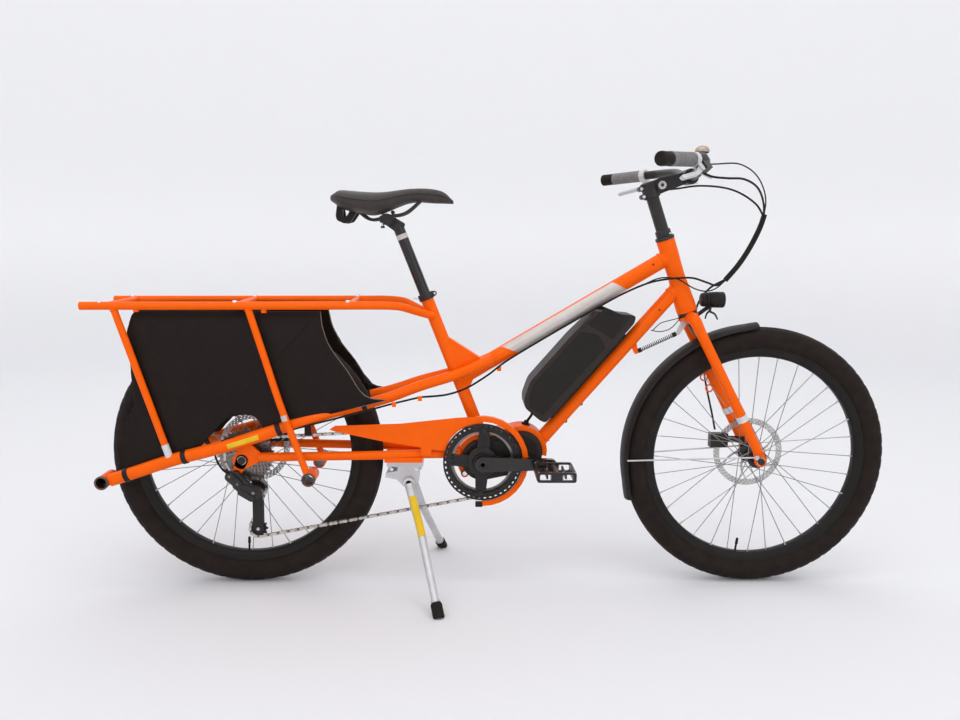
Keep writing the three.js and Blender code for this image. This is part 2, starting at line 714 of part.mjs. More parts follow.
add('frame', 'chain', cut(
  plate(beltOutline(chainSize.half), chainLow, chainHigh),
  plate(beltOutline(-chainSize.half), chainLow - overrun, chainHigh + overrun)), steel);

// Chain guard: a sheet outside the chain that ends in a band round the chainring
const guardShares = [
  [-1, 0.7],
  [-0.963, 0.783],
  [-0.54, 0.835],
  [-0.173, 0.969],
  [0, 1],
  [0, 0.5],
  [-0.265, 0.24],
  [-0.672, 0.457],
  [-0.976, 0.67],
];

function guardSolid() {
  const { x, z } = bottomBracket;
  const inner = guard.outerY + guard.thickness;
  const arc = (radius, from, to) =>
    Array.from({ length: 17 }, (_, k) => polar(x, z, radius, from + ((to - from) * k) / 16));
  const band = plate(
    [
      ...arc(guard.bandOuter, guard.topAngle, guard.endAngle),
      ...arc(guard.bandInner, guard.endAngle, guard.topAngle),
    ],
    guard.outerY, guard.outerY + guard.bandDepth);
  const outline = guardShares.map(([u, w]) => [x + u * (x - guard.tailX), z + w * guard.bandOuter]);
  const sheet = cut(
    plate(outline, guard.outerY, inner),
    disc(x, z, guard.plateInner, guard.outerY - overrun, inner + overrun));
  const foot = block(
    guardFoot.rearX, guard.outerY, stayZ,
    guardFoot.frontX, guard.outerY + guardFoot.depth, guardFoot.top);
  return cut(join(sheet, band, foot), staySolid(-1, touch));
}
add('frame', 'chain_guard', guardSolid(), orangePaint);

// Kickstand bracket, bolted under the plate between the stays
const bracketTop = standTop - standPlate.thickness - touch;
add('frame', 'kickstand_bracket', cut(
  plate([
    [standBody.rearX, bracketTop],
    [standBody.rearX, stand.pivotZ],
    [stand.pivotX - standSize.upperRadius, stand.pivotZ - standSize.upperRadius],
    [stand.pivotX + standSize.upperRadius, stand.pivotZ - standSize.upperRadius],
    [standBody.frontX, stand.pivotZ],
    [standBody.frontX, bracketTop],
  ], -standBody.half, standBody.half),
  axleRod(stand.pivotX, stand.pivotZ, standSize.axleRadius + running, -standPlate.half, standPlate.half),
), silver);

// Seat collar, with a bolt across its rear ears
const collarEar = onSeat(collar.lip - collar.height / 2);
add('frame', 'seat_collar', cut(
  join(
    rod(onSeat(-collar.height), onSeat(collar.lip), collar.radius, collar.radius, 12),
    axleRod(
      collarEar.x - collar.radius, collarEar.z, collar.boltRadius, -collar.boltHalf, collar.boltHalf, 8),
  ),
  rod(onSeat(touch), seatLow, seatTube.radius + touch, seatTube.radius + touch, 14),
  rod(onSeat(-collar.height), onSeat(collar.lip + overrun), seatTube.bore, seatTube.bore, 12),
), blackPaint);

// Brake calipers, each a block slotted for its disc
function caliperSolid(x, z, axleX, axleZ, discY) {
  const reach = rotor.thickness / 2 + caliper.slot;
  const body = block(
    x - caliper.length / 2, discY - reach - caliper.cheek, z - caliper.height / 2,
    x + caliper.length / 2, discY + reach + caliper.cheek, z + caliper.height / 2);
  return cut(body, disc(axleX, axleZ, rotor.radius + caliper.slot, discY - reach, discY + reach, 48));
}
add('frame', 'rear_brake_caliper', cut(
  caliperSolid(caliper.rearX, caliper.rearZ, 0, rearAxleZ, rotor.rearY), staySolid(1, touch)), blackPaint);

// Wheels
const tyreShares = { wide: 0.42, shoulder: 0.8, shoulderHalf: 0.78 };
function tyreSolid(x, z, tyre) {
  const bead = beadRadius + touch;
  const crown = beadRadius + tyre.section;
  const outer = [
    [bead, rim.half - touch],
    [bead + tyre.section * tyreShares.wide, tyre.half],
    [bead + tyre.section * tyreShares.shoulder, tyre.half * tyreShares.shoulderHalf],
    [crown, 0],
  ];
  const wallShare = 1 - tyreWall / tyre.half;
  const inner = [
    [bead, rim.half - touch - tyreWall],
    [bead + tyre.section * tyreShares.wide, tyre.half * wallShare],
    [crown - tyreWall, 0],
  ];
  const across = (points) => points.slice(0, -1).map(([radius, y]) => [radius, -y]).reverse();
  const profile = [...outer, ...across(outer), ...across(inner).reverse(), ...[...inner].reverse()];
  return wheelRing(profile, x, z, rim.segments);
}

const rimInner = beadRadius - rim.depth;
const rimSolid = (x, z) => wheelRing([
  [rimInner, -rim.innerHalf],
  [beadRadius - rim.shoulder, -rim.half],
  [beadRadius, -rim.half],
  [beadRadius, rim.half],
  [beadRadius - rim.shoulder, rim.half],
  [rimInner, rim.innerHalf],
], x, z, rim.segments);

function spokesSolid(x, z, hub) {
  const start = hub.flangeRadius + spokes.thickness / 2 + touch;
  const end = rimInner + spokes.thickness;
  const radius = spokes.thickness / 2;
  const one = (side, k) => {
    const lean = k % 2 ? -1 : 1;
    const step = 360 / spokes.perSide;
    const from = step * (k + (side > 0 ? 0.5 : 0));
    const lane = (lean * spokes.laneGap) / 2;
    const [startX, startZ] = polar(x, z, start, from);
    const [endX, endZ] = polar(x, z, end, from + lean * spokes.slant);
    return rod(
      vec(startX, side * (hub.flangeHalf + lane), startZ),
      vec(endX, side * (spokes.rimLane + lane), endZ), radius, radius, 3);
  };
  return join(both.flatMap((side) => Array.from({ length: spokes.perSide }, (_, k) => one(side, k))));
}

// Half the outline of a hub, from its middle out to the end of its axle
function hubHalf(hub, discY) {
  const edge = hub.flangeHalf + flangeThickness / 2;
  const shelf = discY + rotor.thickness / 2;
  const shoulder = hub.half + hub.dropout + 2 * touch;
  return [
    [hub.bodyRadius, hub.flangeHalf - 2 * flangeThickness],
    [hub.flangeRadius, hub.flangeHalf - flangeThickness / 2],
    [hub.flangeRadius, edge],
    [hub.bodyRadius, edge],
    [hub.bodyRadius, shelf],
    [hub.nutRadius, shelf],
    [hub.nutRadius, hub.half],
    [hub.axleRadius, hub.half],
    [hub.axleRadius, shoulder],
    [hub.nutRadius, shoulder],
    [hub.nutRadius, shoulder + hub.nutLength],
    [0, shoulder + hub.nutLength],
  ];
}
const hubSolid = (x, z, hub, leftY, rightY) => spindle([
  ...hubHalf(hub, rightY).map(([radius, y]) => [radius, -y]).reverse(),
  ...hubHalf(hub, leftY),
], x, z, spokes.perSide);

const rotorShares = { arc: [0, 0.5, 1], root: [0.9, 0.1] };
function rotorSolid(x, z, y, bore) {
  const low = y - rotor.thickness / 2;
  const high = y + rotor.thickness / 2;
  const inner = rotor.radius - rotor.ringWidth;
  const step = 360 / rotor.windows;
  const windows = Array.from({ length: rotor.windows }, (_, i) => {
    const from = i * step + rotorArmHalfAngle;
    const to = (i + 1) * step - rotorArmHalfAngle;
    const arc = rotorShares.arc.map((share) => polar(x, z, inner, from + share * (to - from)));
    const root = rotorShares.root.map((share) => polar(x, z, rotor.hubRadius, from + share * (to - from)));
    return plate([...arc, ...root], low - overrun, high + overrun);
  });
  return cut(
    disc(x, z, rotor.radius, low, high, 28), windows,
    axleRod(x, z, bore, low - overrun, high + overrun));
}

const wheels = [
  {
    body: 'front_wheel', word: 'front', x: wheelBase, z: frontAxleZ, tyre: frontTyre, hub: frontHub,
    discY: rotor.frontY, farY: frontHub.half - rotor.thickness,
  },
  {
    body: 'rear_wheel', word: 'rear', x: 0, z: rearAxleZ, tyre: rearTyre, hub: rearHub,
    discY: rotor.rearY, farY: -cassette.outerY,
  },
];
for (const { body, word, x, z, tyre, hub, discY, farY } of wheels) {
  add(body, `${word}_tyre`, tyreSolid(x, z, tyre), blackRubber);
  add(body, `${word}_rim`, join(rimSolid(x, z), spokesSolid(x, z, hub)), blackPaint);
  add(body, `${word}_hub`, hubSolid(x, z, hub, discY, farY), blackPaint);
  add(body, `${word}_rotor`, rotorSolid(x, z, discY, hub.bodyRadius + running), steel);
}

// Cassette, with a free lane where the chain runs
const laneRadius = pitchRadius(teeth.cog) - chainSize.half - cassette.laneGap;
add('cassette', 'cassette', wheelRing([
  [cassette.bodyRadius, cassette.innerY],
  [pitchRadius(teeth.largest), cassette.innerY],
  [pitchRadius(teeth.largest), cassette.stepY],
  [cassette.coneRadius, cassette.laneInnerY],
  [laneRadius, cassette.laneInnerY],
  [laneRadius, cassette.laneOuterY],
  [cassette.outerRadius, cassette.outerY],
  [cassette.bodyRadius, cassette.outerY],
], 0, rearAxleZ, 24), steel);

// Derailleur: its body hangs from the hanger, and its cage swings about the upper pulley
const hangerY = -(rearHub.half + 2 * touch + dropout.thickness);
const cageOuterY = chainLow - cage.gap - cage.thickness;
const cageInnerY = chainHigh + cage.gap + cage.thickness;
add('frame', 'derailleur_body', join(
  plate(stretched([
    [dropout.hangerX, dropout.hangerZ, derailleur.bodyRadius],
    [derailleur.kneeX, derailleur.kneeZ, derailleur.bodyRadius],
  ]), hangerY - derailleur.thickness, hangerY),
  plate(stretched([
    [derailleur.kneeX, derailleur.kneeZ, derailleur.bodyRadius],
    [upperPulley.x, upperPulley.z, derailleur.bossRadius],
  ]), hangerY - derailleur.thickness, hangerY),
  axleRod(
    upperPulley.x, upperPulley.z, derailleur.bossRadius, hangerY - derailleur.thickness, cageOuterY - touch),
), blackPaint);
const cagePlate = (low, high) => plate(stretched([
  [upperPulley.x, upperPulley.z, cage.radius],
  [lowerPulley.x, lowerPulley.z, cage.radius],
]), low, high);
add('derailleur_cage', 'derailleur_cage', join(
  cagePlate(cageOuterY, cageOuterY + cage.thickness),
  cagePlate(cageInnerY - cage.thickness, cageInnerY),
  [upperPulley, lowerPulley].map(({ x, z }) => axleRod(x, z, cage.pinRadius, cageOuterY, cageInnerY, 12)),
), blackPaint);
const pulleyRadius = pitchRadius(teeth.pulley) - chainSize.half - 2 * touch;
for (const [{ x, z }, name] of [[upperPulley, 'pulley_upper'], [lowerPulley, 'pulley_lower']]) {
  add(name, name, wheelRing([
    [cage.pinRadius + running, chainSize.y - pulleyHalf],
    [pulleyRadius, chainSize.y - pulleyHalf],
    [pulleyRadius, chainSize.y + pulleyHalf],
    [cage.pinRadius + running, chainSize.y + pulleyHalf],
  ], x, z, 22), blackPlastic);
}

// Crank, chainring with its guard ring, and pedals
const { x: shaftX, z: shaftZ } = bottomBracket;
const ringOuter = pitchRadius(teeth.ring) - chainSize.half - ring.chainGap;
const ringLow = chainSize.y - ring.thickness / 2;
const ringHigh = chainSize.y + ring.thickness / 2;
const guardLow = ring.guardY - ring.guardThickness / 2;
const guardHigh = ring.guardY + ring.guardThickness / 2;
const annulus = (inner, outer, low, high) => cut(
  disc(shaftX, shaftZ, outer, low, high, 36), disc(shaftX, shaftZ, inner, low - overrun, high + overrun, 24));
const spiderArms = Array.from({ length: spider.arms }, (_, i) => {
  const [x, z] = polar(shaftX, shaftZ, spider.reach, spider.turn + (360 * i) / spider.arms);
  return plate(
    stretched([[shaftX, shaftZ, spider.rootRadius], [x, z, spider.tipRadius]], 8), guardHigh, ringLow);
});
const spiderBolts = Array.from({ length: spider.arms }, (_, i) => {
  const [x, z] = polar(shaftX, shaftZ, spider.reach, spider.turn + (360 * i) / spider.arms);
  return axleRod(x, z, spider.tipRadius, guardLow, ringHigh, 8);
});
add('crank', 'chainring', cut(
  join(
    annulus(ring.inner, ringOuter, ringLow, ringHigh),
    annulus(ring.guardInner, ring.guardOuter, guardLow, guardHigh),
    axleRod(shaftX, shaftZ, spider.hubRadius, touch - crank.innerHalf, spider.innerY, 12),
    spiderArms,
    spiderBolts,
  ),
  axleRod(shaftX, shaftZ, bottomBracket.spindleRadius + touch, -crank.outerHalf, 0),
), blackPaint);

const crankEye = [shaftX, shaftZ, crank.hubRadius];
for (const [side, word] of sides) {
  const tipX = shaftX - side * crank.length;
  const [low, high] = side > 0 ? [crank.innerHalf, crank.outerHalf] : [-crank.outerHalf, -crank.innerHalf];
  const arm = plate(stretched([crankEye, [tipX, shaftZ, crank.tipRadius]]), low, high, crank.bevel);
  const whole = side > 0 ? arm : join(arm, axleRod(
    shaftX, shaftZ, bottomBracket.spindleRadius,
    -(crank.innerHalf + crank.outerHalf) / 2, bottomBracket.spindleHalf));
  add('crank', `crank_${word}`, whole, blackPaint);
  const middle = (pedal.innerHalf + pedal.outerHalf) / 2;
  const [pedalLow, pedalHigh] = side > 0
    ? [pedal.innerHalf, pedal.outerHalf]
    : [-pedal.outerHalf, -pedal.innerHalf];
  const windows = both.map((half) => block(
    tipX + (half > 0 ? pedal.spindleRadius : pedal.border - pedal.length / 2), pedalLow + pedal.border,
    shaftZ - pedal.thickness,
    tipX + (half > 0 ? pedal.length / 2 - pedal.border : -pedal.spindleRadius), pedalHigh - pedal.border,
    shaftZ + pedal.thickness));
  const frame = block(
    tipX - pedal.length / 2, pedalLow, shaftZ - pedal.thickness / 2,
    tipX + pedal.length / 2, pedalHigh, shaftZ + pedal.thickness / 2);
  const [stubLow, stubHigh] = side > 0
    ? [crank.outerHalf + touch, middle]
    : [-middle, -crank.outerHalf - touch];
  add(`pedal_${word}`, `pedal_${word}`, join(
    cut(frame, windows), axleRod(tipX, shaftZ, pedal.spindleRadius, stubLow, stubHigh, 12)), blackPlastic);
}

// Kickstand: two legs on one axle, down and out to rubber feet cut flat on the ground
const standLegs = both.map((side) => {
  const pivot = vec(stand.pivotX, side * stand.hubHalf, stand.pivotZ);
  const knee = vec(stand.kneeX, side * stand.kneeHalf, stand.kneeZ);
  const foot = vec(stand.footX, side * stand.footHalf, standSize.lowerRadius);
  const sole = foot.clone().addScaledVector(knee.clone().sub(foot).normalize(), standSize.footLength);
  const under = foot.clone().addScaledVector(knee.clone().sub(foot).normalize(), -standSize.footRadius);
  const eye = side > 0
    ? axleRod(stand.pivotX, stand.pivotZ, standSize.footRadius, standBody.half + running, stand.hubHalf)
    : axleRod(stand.pivotX, stand.pivotZ, standSize.footRadius, -stand.hubHalf, -standBody.half - running);
  return join(
    eye,
    rod(pivot, knee, standSize.upperRadius),
    rod(knee, foot, standSize.upperRadius, standSize.lowerRadius),
    rod(sole, under, standSize.footRadius),
  );
});
const ground = block(
  stand.pivotX - wheelBase, -2 * stand.footHalf, -stand.footHalf,
  stand.pivotX + wheelBase, 2 * stand.footHalf, 0);
add('kickstand', 'kickstand', cut(join(
  standLegs,
  axleRod(stand.pivotX, stand.pivotZ, standSize.axleRadius, -stand.hubHalf, stand.hubHalf),
), ground), silver);

// Fork: steerer, crown, blades and ends
const crownPlace = onHead(-crown.drop);
const crownSolid = (gap) =>
  axleRod(crownPlace.x, crownPlace.z, crown.radius + gap, -crown.half - gap, crown.half + gap);
const bladeSolid = (side, gap) => rod(
  vec(crownPlace.x, side * crown.half, crownPlace.z),
  vec(wheelBase - blade.endBack, side * blade.lowHalf, frontAxleZ + blade.endUp),
  blade.topRadius + gap, blade.lowRadius + gap);
const forkEnds = both.map((side) => {
  const inner = frontHub.half + touch;
  const outer = inner + forkEnd.thickness;
  return plate(stretched([
    [wheelBase, frontAxleZ, forkEnd.radius],
    [wheelBase - blade.endBack, frontAxleZ + blade.endUp, blade.lowRadius],
  ]), side > 0 ? inner : -outer, side > 0 ? outer : -inner);
});
const steererTop = onHead(head.length + cup.height + riser.collarHeight);
add('steering', 'fork', cut(
  join(
    cut(
      join(
        crownSolid(0),
        both.map((side) => bladeSolid(side, 0)),
        damperTab(damper.forkX, damper.forkZ, damperRoots.forkX, damperRoots.forkZ),
      ),
      headSolid(running),
    ),
    rod(crownPlace, steererTop, steererRadius, steererRadius, 12),
    forkEnds,
  ),
  axleRod(
    wheelBase, frontAxleZ, frontHub.axleRadius + running,
    -crown.half - blade.lowHalf, crown.half + blade.lowHalf),
), orangePaint);

// Stem: riser, pivot, arm and bar clamp
const riserLow = onHead(head.length + cup.height + running);
const riserTop = onHead(head.length + cup.height + running + riser.length);
const riserClamp = onHead(head.length + cup.height + running + riser.length - riser.clampHeight);
const collarTop = onHead(head.length + cup.height + running + riser.collarHeight);
const riserMiddle = between(riserClamp, riserTop, 0.5);
const barAxis = (radius, half) => axleRod(stemArm.barX, stemArm.barZ, radius, -half, half);
add('steering', 'stem', cut(
  join(
    rod(riserLow, riserTop, riser.radius, riser.radius, 12),
    rod(riserLow, collarTop, riser.collarRadius, riser.collarRadius, 12),
    rod(riserClamp, riserTop, riser.clampRadius, riser.clampRadius, 12),
    plate(stretched([
      [riserMiddle.x, riserMiddle.z, stemArm.rootRadius],
      [stemArm.pivotX, stemArm.pivotZ, stemArm.rootRadius],
    ]), -stemArm.half, stemArm.half),
    plate(stretched([
      [stemArm.pivotX, stemArm.pivotZ, stemArm.rootRadius],
      [stemArm.barX, stemArm.barZ, bar.radius],
    ]), -stemArm.half, stemArm.half),
    axleRod(stemArm.pivotX, stemArm.pivotZ, stemArm.half, -stemArm.pivotHalf, stemArm.pivotHalf),
    barAxis(stemArm.clampRadius, stemArm.clampHalf),
  ),
  barAxis(bar.clampRadius + touch, bar.clampHalf),
  rod(onHead(head.length), onHead(head.length + cup.height + riser.collarHeight + running),
    steererRadius + touch, steererRadius + touch, 12),
), blackPaint);

// Handlebar: each side rises from the clamp, then sweeps back straight to the grip
const barCentre = vec(stemArm.barX, 0, stemArm.barZ);
const barPlace = ({ x, half, z }, side) => vec(x, side * half, z);
const barEnd = (side) => vec(bar.endX, side * bar.endHalf, bar.endZ);
const barJoinShare = 0.1;
function barSolid(gap) {
  const sideBar = (side) => {
    const knee = barPlace(barKnee, side);
    return join(
      tube([
        barCentre.clone().setY(side * bar.clampHalf / 2),
        barCentre.clone().setY(side * bar.clampHalf),
        barPlace(barRise, side),
        barPlace(barShoulder, side),
        knee,
        between(knee, barEnd(side), barJoinShare),
      ], bar.radius + gap, 9),
      rod(knee, barEnd(side), bar.radius + gap),
    );
  };
  return join(barAxis(bar.clampRadius + gap, bar.clampHalf), both.map(sideBar));
}
add('steering', 'handlebar', barSolid(0), blackPaint);

const barKneeRight = barPlace(barKnee, -1);
const gripWay = barEnd(-1).sub(barKneeRight);
const straightLength = gripWay.length();
gripWay.normalize();
const leverOut = vec(leverAim.forward, 0, -leverAim.drop);
leverOut.y = -(leverOut.x * gripWay.x + leverOut.z * gripWay.z) / gripWay.y;
leverOut.normalize();
const leverHinge = leverOut.clone().cross(gripWay);
const alongGrip = (distance) => barKneeRight.clone().addScaledVector(gripWay, distance);
const onBar = (piece, distance) => placed(piece, alongGrip(distance), gripWay, leverHinge, leverOut);

// Grips and controls are drawn for the right hand and mirrored
const gripStart = straightLength - grip.length;
const gripRight = cut(
  rod(alongGrip(gripStart), alongGrip(straightLength + grip.cap), grip.radius, grip.radius, 12),
  rod(alongGrip(gripStart - overrun), alongGrip(straightLength + touch), bar.radius + running));
const perchBlock = (radius, low, high) => rod(
  vec(0, low, perch.reach), vec(0, high, perch.reach), radius);
const perchRight = onBar(cut(
  join(
    rod(
      vec(-perch.ringLength / 2, 0, 0), vec(perch.ringLength / 2, 0, 0),
      perch.ringRadius, perch.ringRadius, 12),
    plate(
      stretched([[0, 0, perch.eyeRadius], [0, perch.reach, perch.eyeRadius]], 12),
      -perch.half, perch.half),
  ),
  perchBlock(
    brakeLever.hubRadius + 2 * running,
    -brakeLever.thickness / 2 - touch, brakeLever.thickness / 2 + touch),
  block(0, -brakeLever.thickness / 2 - touch, perch.reach - brakeLever.hubRadius - 2 * touch,
    perch.ringLength, brakeLever.thickness / 2 + touch, perch.reach + perch.ringRadius),
), perch.along);
const leverRight = onBar(
  join(
    plate(stretched([
      [0, perch.reach, brakeLever.hubRadius],
      [brakeLever.kneeAlong, brakeLever.kneeOffset, brakeLever.tipRadius],
    ], 12), -brakeLever.thickness / 2, brakeLever.thickness / 2),
    plate(stretched([
      [brakeLever.kneeAlong, brakeLever.kneeOffset, brakeLever.tipRadius],
      [brakeLever.length, brakeLever.offset, brakeLever.tipRadius],
    ], 12), -brakeLever.thickness / 2, brakeLever.thickness / 2),
  ), perch.along);
const shifterRing = rod(vec(-shifter.length / 2, 0, 0), vec(shifter.length / 2, 0, 0), perch.ringRadius,
  perch.ringRadius, 12);
const shifterRight = onBar(join(
  shifterRing,
  block(
    -shifter.length / 2, -shifter.half, 0,
    shifter.length / 2, shifter.half, shifter.drop)), shifter.along);
const shiftTip = polar(0, shifter.pivotOffset, shifter.leverLength, shifter.turn);
add('shift_lever', 'shift_lever', onBar(plate(stretched([
  [0, shifter.pivotOffset, shifter.hubRadius],
  [shiftTip[0], shifter.pivotOffset * 2 - shiftTip[1], shifter.leverRadius],
], 12), shifter.half + touch, shifter.half + touch + shifter.leverThickness), shifter.along), silver);
add('steering', 'grip_left', mirrored(gripRight), blackRubber);
add('steering', 'grip_right', gripRight, blackRubber);
add('steering', 'lever_perch_left', cut(mirrored(perchRight), barSolid(touch)), silver);
add('steering', 'lever_perch_right', cut(perchRight, barSolid(touch)), silver);
add('steering', 'shifter', cut(shifterRight, barSolid(touch)), silver);
add('brake_lever_left', 'brake_lever_left', mirrored(leverRight), silver);
add('brake_lever_right', 'brake_lever_right', leverRight, silver);

// Bell and its striker lever
const bellAt = (z) => vec(bell.x, -bell.half, z);
const domeShares = [[0, 0], [1, 0], [1, 0.25], [0.85, 0.65], [0.5, 0.93], [0, 1]];
add('steering', 'bell', cut(
  join(
    axleRod(bell.x, bell.barZ, bell.bandRadius, -bell.half - bell.bandHalf, -bell.half + bell.bandHalf),
    rod(bellAt(bell.barZ), bellAt(bell.domeZ), bell.baseRadius, bell.baseRadius, 12),
    turned(
      domeShares.map(([across, up]) => [across * bell.domeRadius, up * bell.domeHeight]),
      bellAt(bell.domeZ), bellAt(bell.domeZ + bell.domeHeight), 12),
  ),
  barSolid(touch)), silver);
const bellLeverTop = bell.domeZ - bellLever.drop;
const bellLeverShape = new THREE.ExtrudeGeometry(
  new THREE.Shape(stretched([
    [bell.x, -bell.half, bellLever.hubRadius],
    [bell.x - bellLever.length, -bell.half, bellLever.tipRadius],
  ], 12).map(([x, y]) => new THREE.Vector2(x, y))), { depth: bellLever.thickness, bevelEnabled: false });
add('bell_lever', 'bell_lever', cut(
  solid(bellLeverShape.translate(0, 0, bellLeverTop - bellLever.thickness)),
  rod(bellAt(bell.barZ), bellAt(bell.domeZ), bell.baseRadius + touch, bell.baseRadius + touch, 12)), silver);

// Headlight on a bracket from the crown
const lightConeShare = 0.25;
const lightStart = vec(headlight.rearX, 0, headlight.z);
const lightEnd = vec(headlight.frontX, 0, headlight.z);
add('steering', 'headlight', cut(
  join(
    turned([
      [0, 0],
      [headlight.rearRadius, 0],
      [headlight.radius, (headlight.frontX - headlight.rearX) * lightConeShare],
      [headlight.radius, headlight.frontX - headlight.rearX],
      [0, headlight.frontX - headlight.rearX],
    ], lightStart, lightEnd, 20),
    plate(stretched([
      [lightBracket.footX, lightBracket.footZ, lightBracket.radius],
      [lightBracket.topX, lightBracket.topZ, lightBracket.radius],
    ], 12), -lightBracket.half, lightBracket.half),
  ),
  crownSolid(touch), headSolid(running)), blackPlastic);

// Front fender: a sector of a channelled ring, its crown bracket and its stays
const fenderInner = beadRadius + frontTyre.section + fender.clearance;
const fenderOuter = fenderInner + fender.thickness;
const fenderRing = wheelRing([
  [fenderInner - fender.lip, -fender.half],
  [fenderOuter, -fender.half],
  [fenderOuter, fender.half],
  [fenderInner - fender.lip, fender.half],
  [fenderInner - fender.lip, fender.half - fender.thickness],
  [fenderInner, fender.half - fender.thickness],
  [fenderInner, fender.thickness - fender.half],
  [fenderInner - fender.lip, fender.thickness - fender.half],
], wheelBase, frontAxleZ, 48);
const atWheel = (radius, angle) => polar(wheelBase, frontAxleZ, radius, angle);
const middleAngle = (fender.fromAngle + fender.toAngle) / 2;
const fenderSector = fenderRing.intersect(plate([
  [wheelBase, frontAxleZ],
  atWheel(2 * fenderOuter, fender.fromAngle),
  atWheel(2 * fenderOuter, middleAngle),
  atWheel(2 * fenderOuter, fender.toAngle),
], -fender.half - overrun, fender.half + overrun));
const fenderBracket = plate([
  atWheel(fenderInner + touch, fender.crownAngle - fender.bracketAngle),
  atWheel(fenderInner + touch, fender.crownAngle + fender.bracketAngle),
  [crownPlace.x - fender.thickness, crownPlace.z],
  [crownPlace.x + fender.thickness, crownPlace.z],
], -fender.lip, fender.lip);
const stayRods = both.map((side) => {
  const endX = wheelBase - fenderStay.endBack;
  const endZ = frontAxleZ + fenderStay.endUp;
  const inner = frontHub.half + forkEnd.thickness + 2 * touch;
  const [low, high] = side > 0 ? [inner, fenderStay.tabHalf] : [-fenderStay.tabHalf, -inner];
  const [sideX, sideZ] = atWheel(fenderInner - fender.lip / 2, fender.stayAngle);
  return join(
    axleRod(endX, endZ, fenderStay.tabRadius, low, high, 12),
    rod(vec(endX, (low + high) / 2, endZ), vec(sideX, side * (fender.half - touch), sideZ), fenderStay.radius,
      fenderStay.radius, 6),
  );
});
add('steering', 'front_fender', cut(
  join(fenderSector, fenderBracket, stayRods), crownSolid(touch), both.map((side) => bladeSolid(side, touch)),
), blackPlastic);

// Front caliper, carried by an arm from the left blade
add('steering', 'front_brake_caliper', cut(
  join(
    caliperSolid(caliper.frontX, caliper.frontZ, wheelBase, frontAxleZ, rotor.frontY),
    block(
      caliper.frontX, rotor.frontY + rotor.thickness / 2 + caliper.slot + touch,
      caliper.frontZ - caliper.armHalf,
      wheelBase - blade.endBack, crown.half, caliper.frontZ + caliper.armHalf),
  ),
  bladeSolid(1, touch),
), blackPaint);

// Damper spring between the down tube and the fork crown, wound as one wire
const damperStart = vec(damper.frameX, 0, damper.frameZ);
const damperEnd = vec(damper.forkX, 0, damper.forkZ);
const damperWay = damperEnd.clone().sub(damperStart).normalize();
const damperUp = vec(-damperWay.z, 0, damperWay.x);
const springLength = damperStart.distanceTo(damperEnd) - 2 * (damper.tabRadius + touch);
const springStart = damperStart.clone().addScaledVector(damperWay, damper.tabRadius + touch);

function springPath() {
  const straight = 2 * damper.wire;
  const stepsPerTurn = 8;
  const blendTurns = 0.75;
  const count = damper.turns * stepsPerTurn;
  const places = [springStart.clone(), springStart.clone().addScaledVector(damperWay, straight)];
  for (let i = 1; i < count; i += 1) {
    const turn = i / stepsPerTurn;
    const grown = Math.min(1, turn / blendTurns, (damper.turns - turn) / blendTurns);
    const angle = 2 * Math.PI * turn;
    const along = straight + ((springLength - 2 * straight) * i) / count;
    places.push(springStart.clone()
      .addScaledVector(damperWay, along)
      .addScaledVector(damperUp, grown * damper.radius * Math.cos(angle))
      .add(vec(0, grown * damper.radius * Math.sin(angle), 0)));
  }
  places.push(springStart.clone().addScaledVector(damperWay, springLength - straight));
  places.push(springStart.clone().addScaledVector(damperWay, springLength));
  return places;
}

// A round tube through places, its rings turned along with the path
function woundTube(places, radius, ringSides) {
  const positions = [];
  const index = [];
  let side = vec(0, 1, 0);
  places.forEach((place, i) => {
    const before = places[Math.max(0, i - 1)];
    const after = places[Math.min(places.length - 1, i + 1)];
    const way = after.clone().sub(before).normalize();
    side = side.clone().addScaledVector(way, -side.dot(way)).normalize();
    const other = way.clone().cross(side);
    for (let k = 0; k < ringSides; k += 1) {
      const angle = (2 * Math.PI * k) / ringSides;
      const spot = place.clone()
        .addScaledVector(side, radius * Math.cos(angle))
        .addScaledVector(other, radius * Math.sin(angle));
      positions.push(spot.x, spot.y, spot.z);
    }
  });
  for (let i = 0; i < places.length - 1; i += 1) {
    for (let k = 0; k < ringSides; k += 1) {
      const a = i * ringSides + k;
      const b = i * ringSides + ((k + 1) % ringSides);
      index.push(a, b, b + ringSides, a, b + ringSides, a + ringSides);
    }
  }
  const last = (places.length - 1) * ringSides;
  for (let k = 1; k < ringSides - 1; k += 1) {
    index.push(0, k + 1, k, last, last + k, last + k + 1);
  }
  const geometry = new THREE.BufferGeometry();
  geometry.setAttribute('position', new THREE.BufferAttribute(new Float32Array(positions), 3));
  geometry.setIndex(index);
  return solid(geometry);
}

const springPlaces = springPath();
const springCurve = new THREE.CatmullRomCurve3(springPlaces);
const springSamples = springPlaces.length * 6;
const springPoints = springCurve.getSpacedPoints(springSamples);
const springStep = springCurve.getLength() / springSamples;
const springApart = Math.ceil((Math.PI * damper.radius) / springStep);
let springGap = Infinity;
springPoints.forEach((p, i) => {
  for (let j = i + springApart; j < springPoints.length; j += 1) {
    springGap = Math.min(springGap, p.distanceTo(springPoints[j]) - 2 * damper.wire);
  }
});
console.log(`damper spring: least gap between its own turns ${springGap.toFixed(2)} mm`);
add('frame', 'damper_spring', woundTube(springPlaces, damper.wire, 5), steel);

// Seatpost, its clamp and the saddle rails
const postHead = onSeat(post.rise);
const saddleRails = both.map((side) => {
  const low = vec(saddleRail.lowX, side * saddleRail.half, saddleRail.lowZ);
  const knee = vec(saddleRail.kneeX, side * saddleRail.half, saddleRail.kneeZ);
  return tube([
    vec(saddleRail.rearX, side * saddleRail.rearHalf, saddleRail.rearZ),
    low,
    between(low, knee, 0.5),
    knee,
    vec(saddleRail.frontX, side * saddleRail.frontHalf, saddleRail.frontZ),
  ], saddleRail.radius, 8, 6);
});

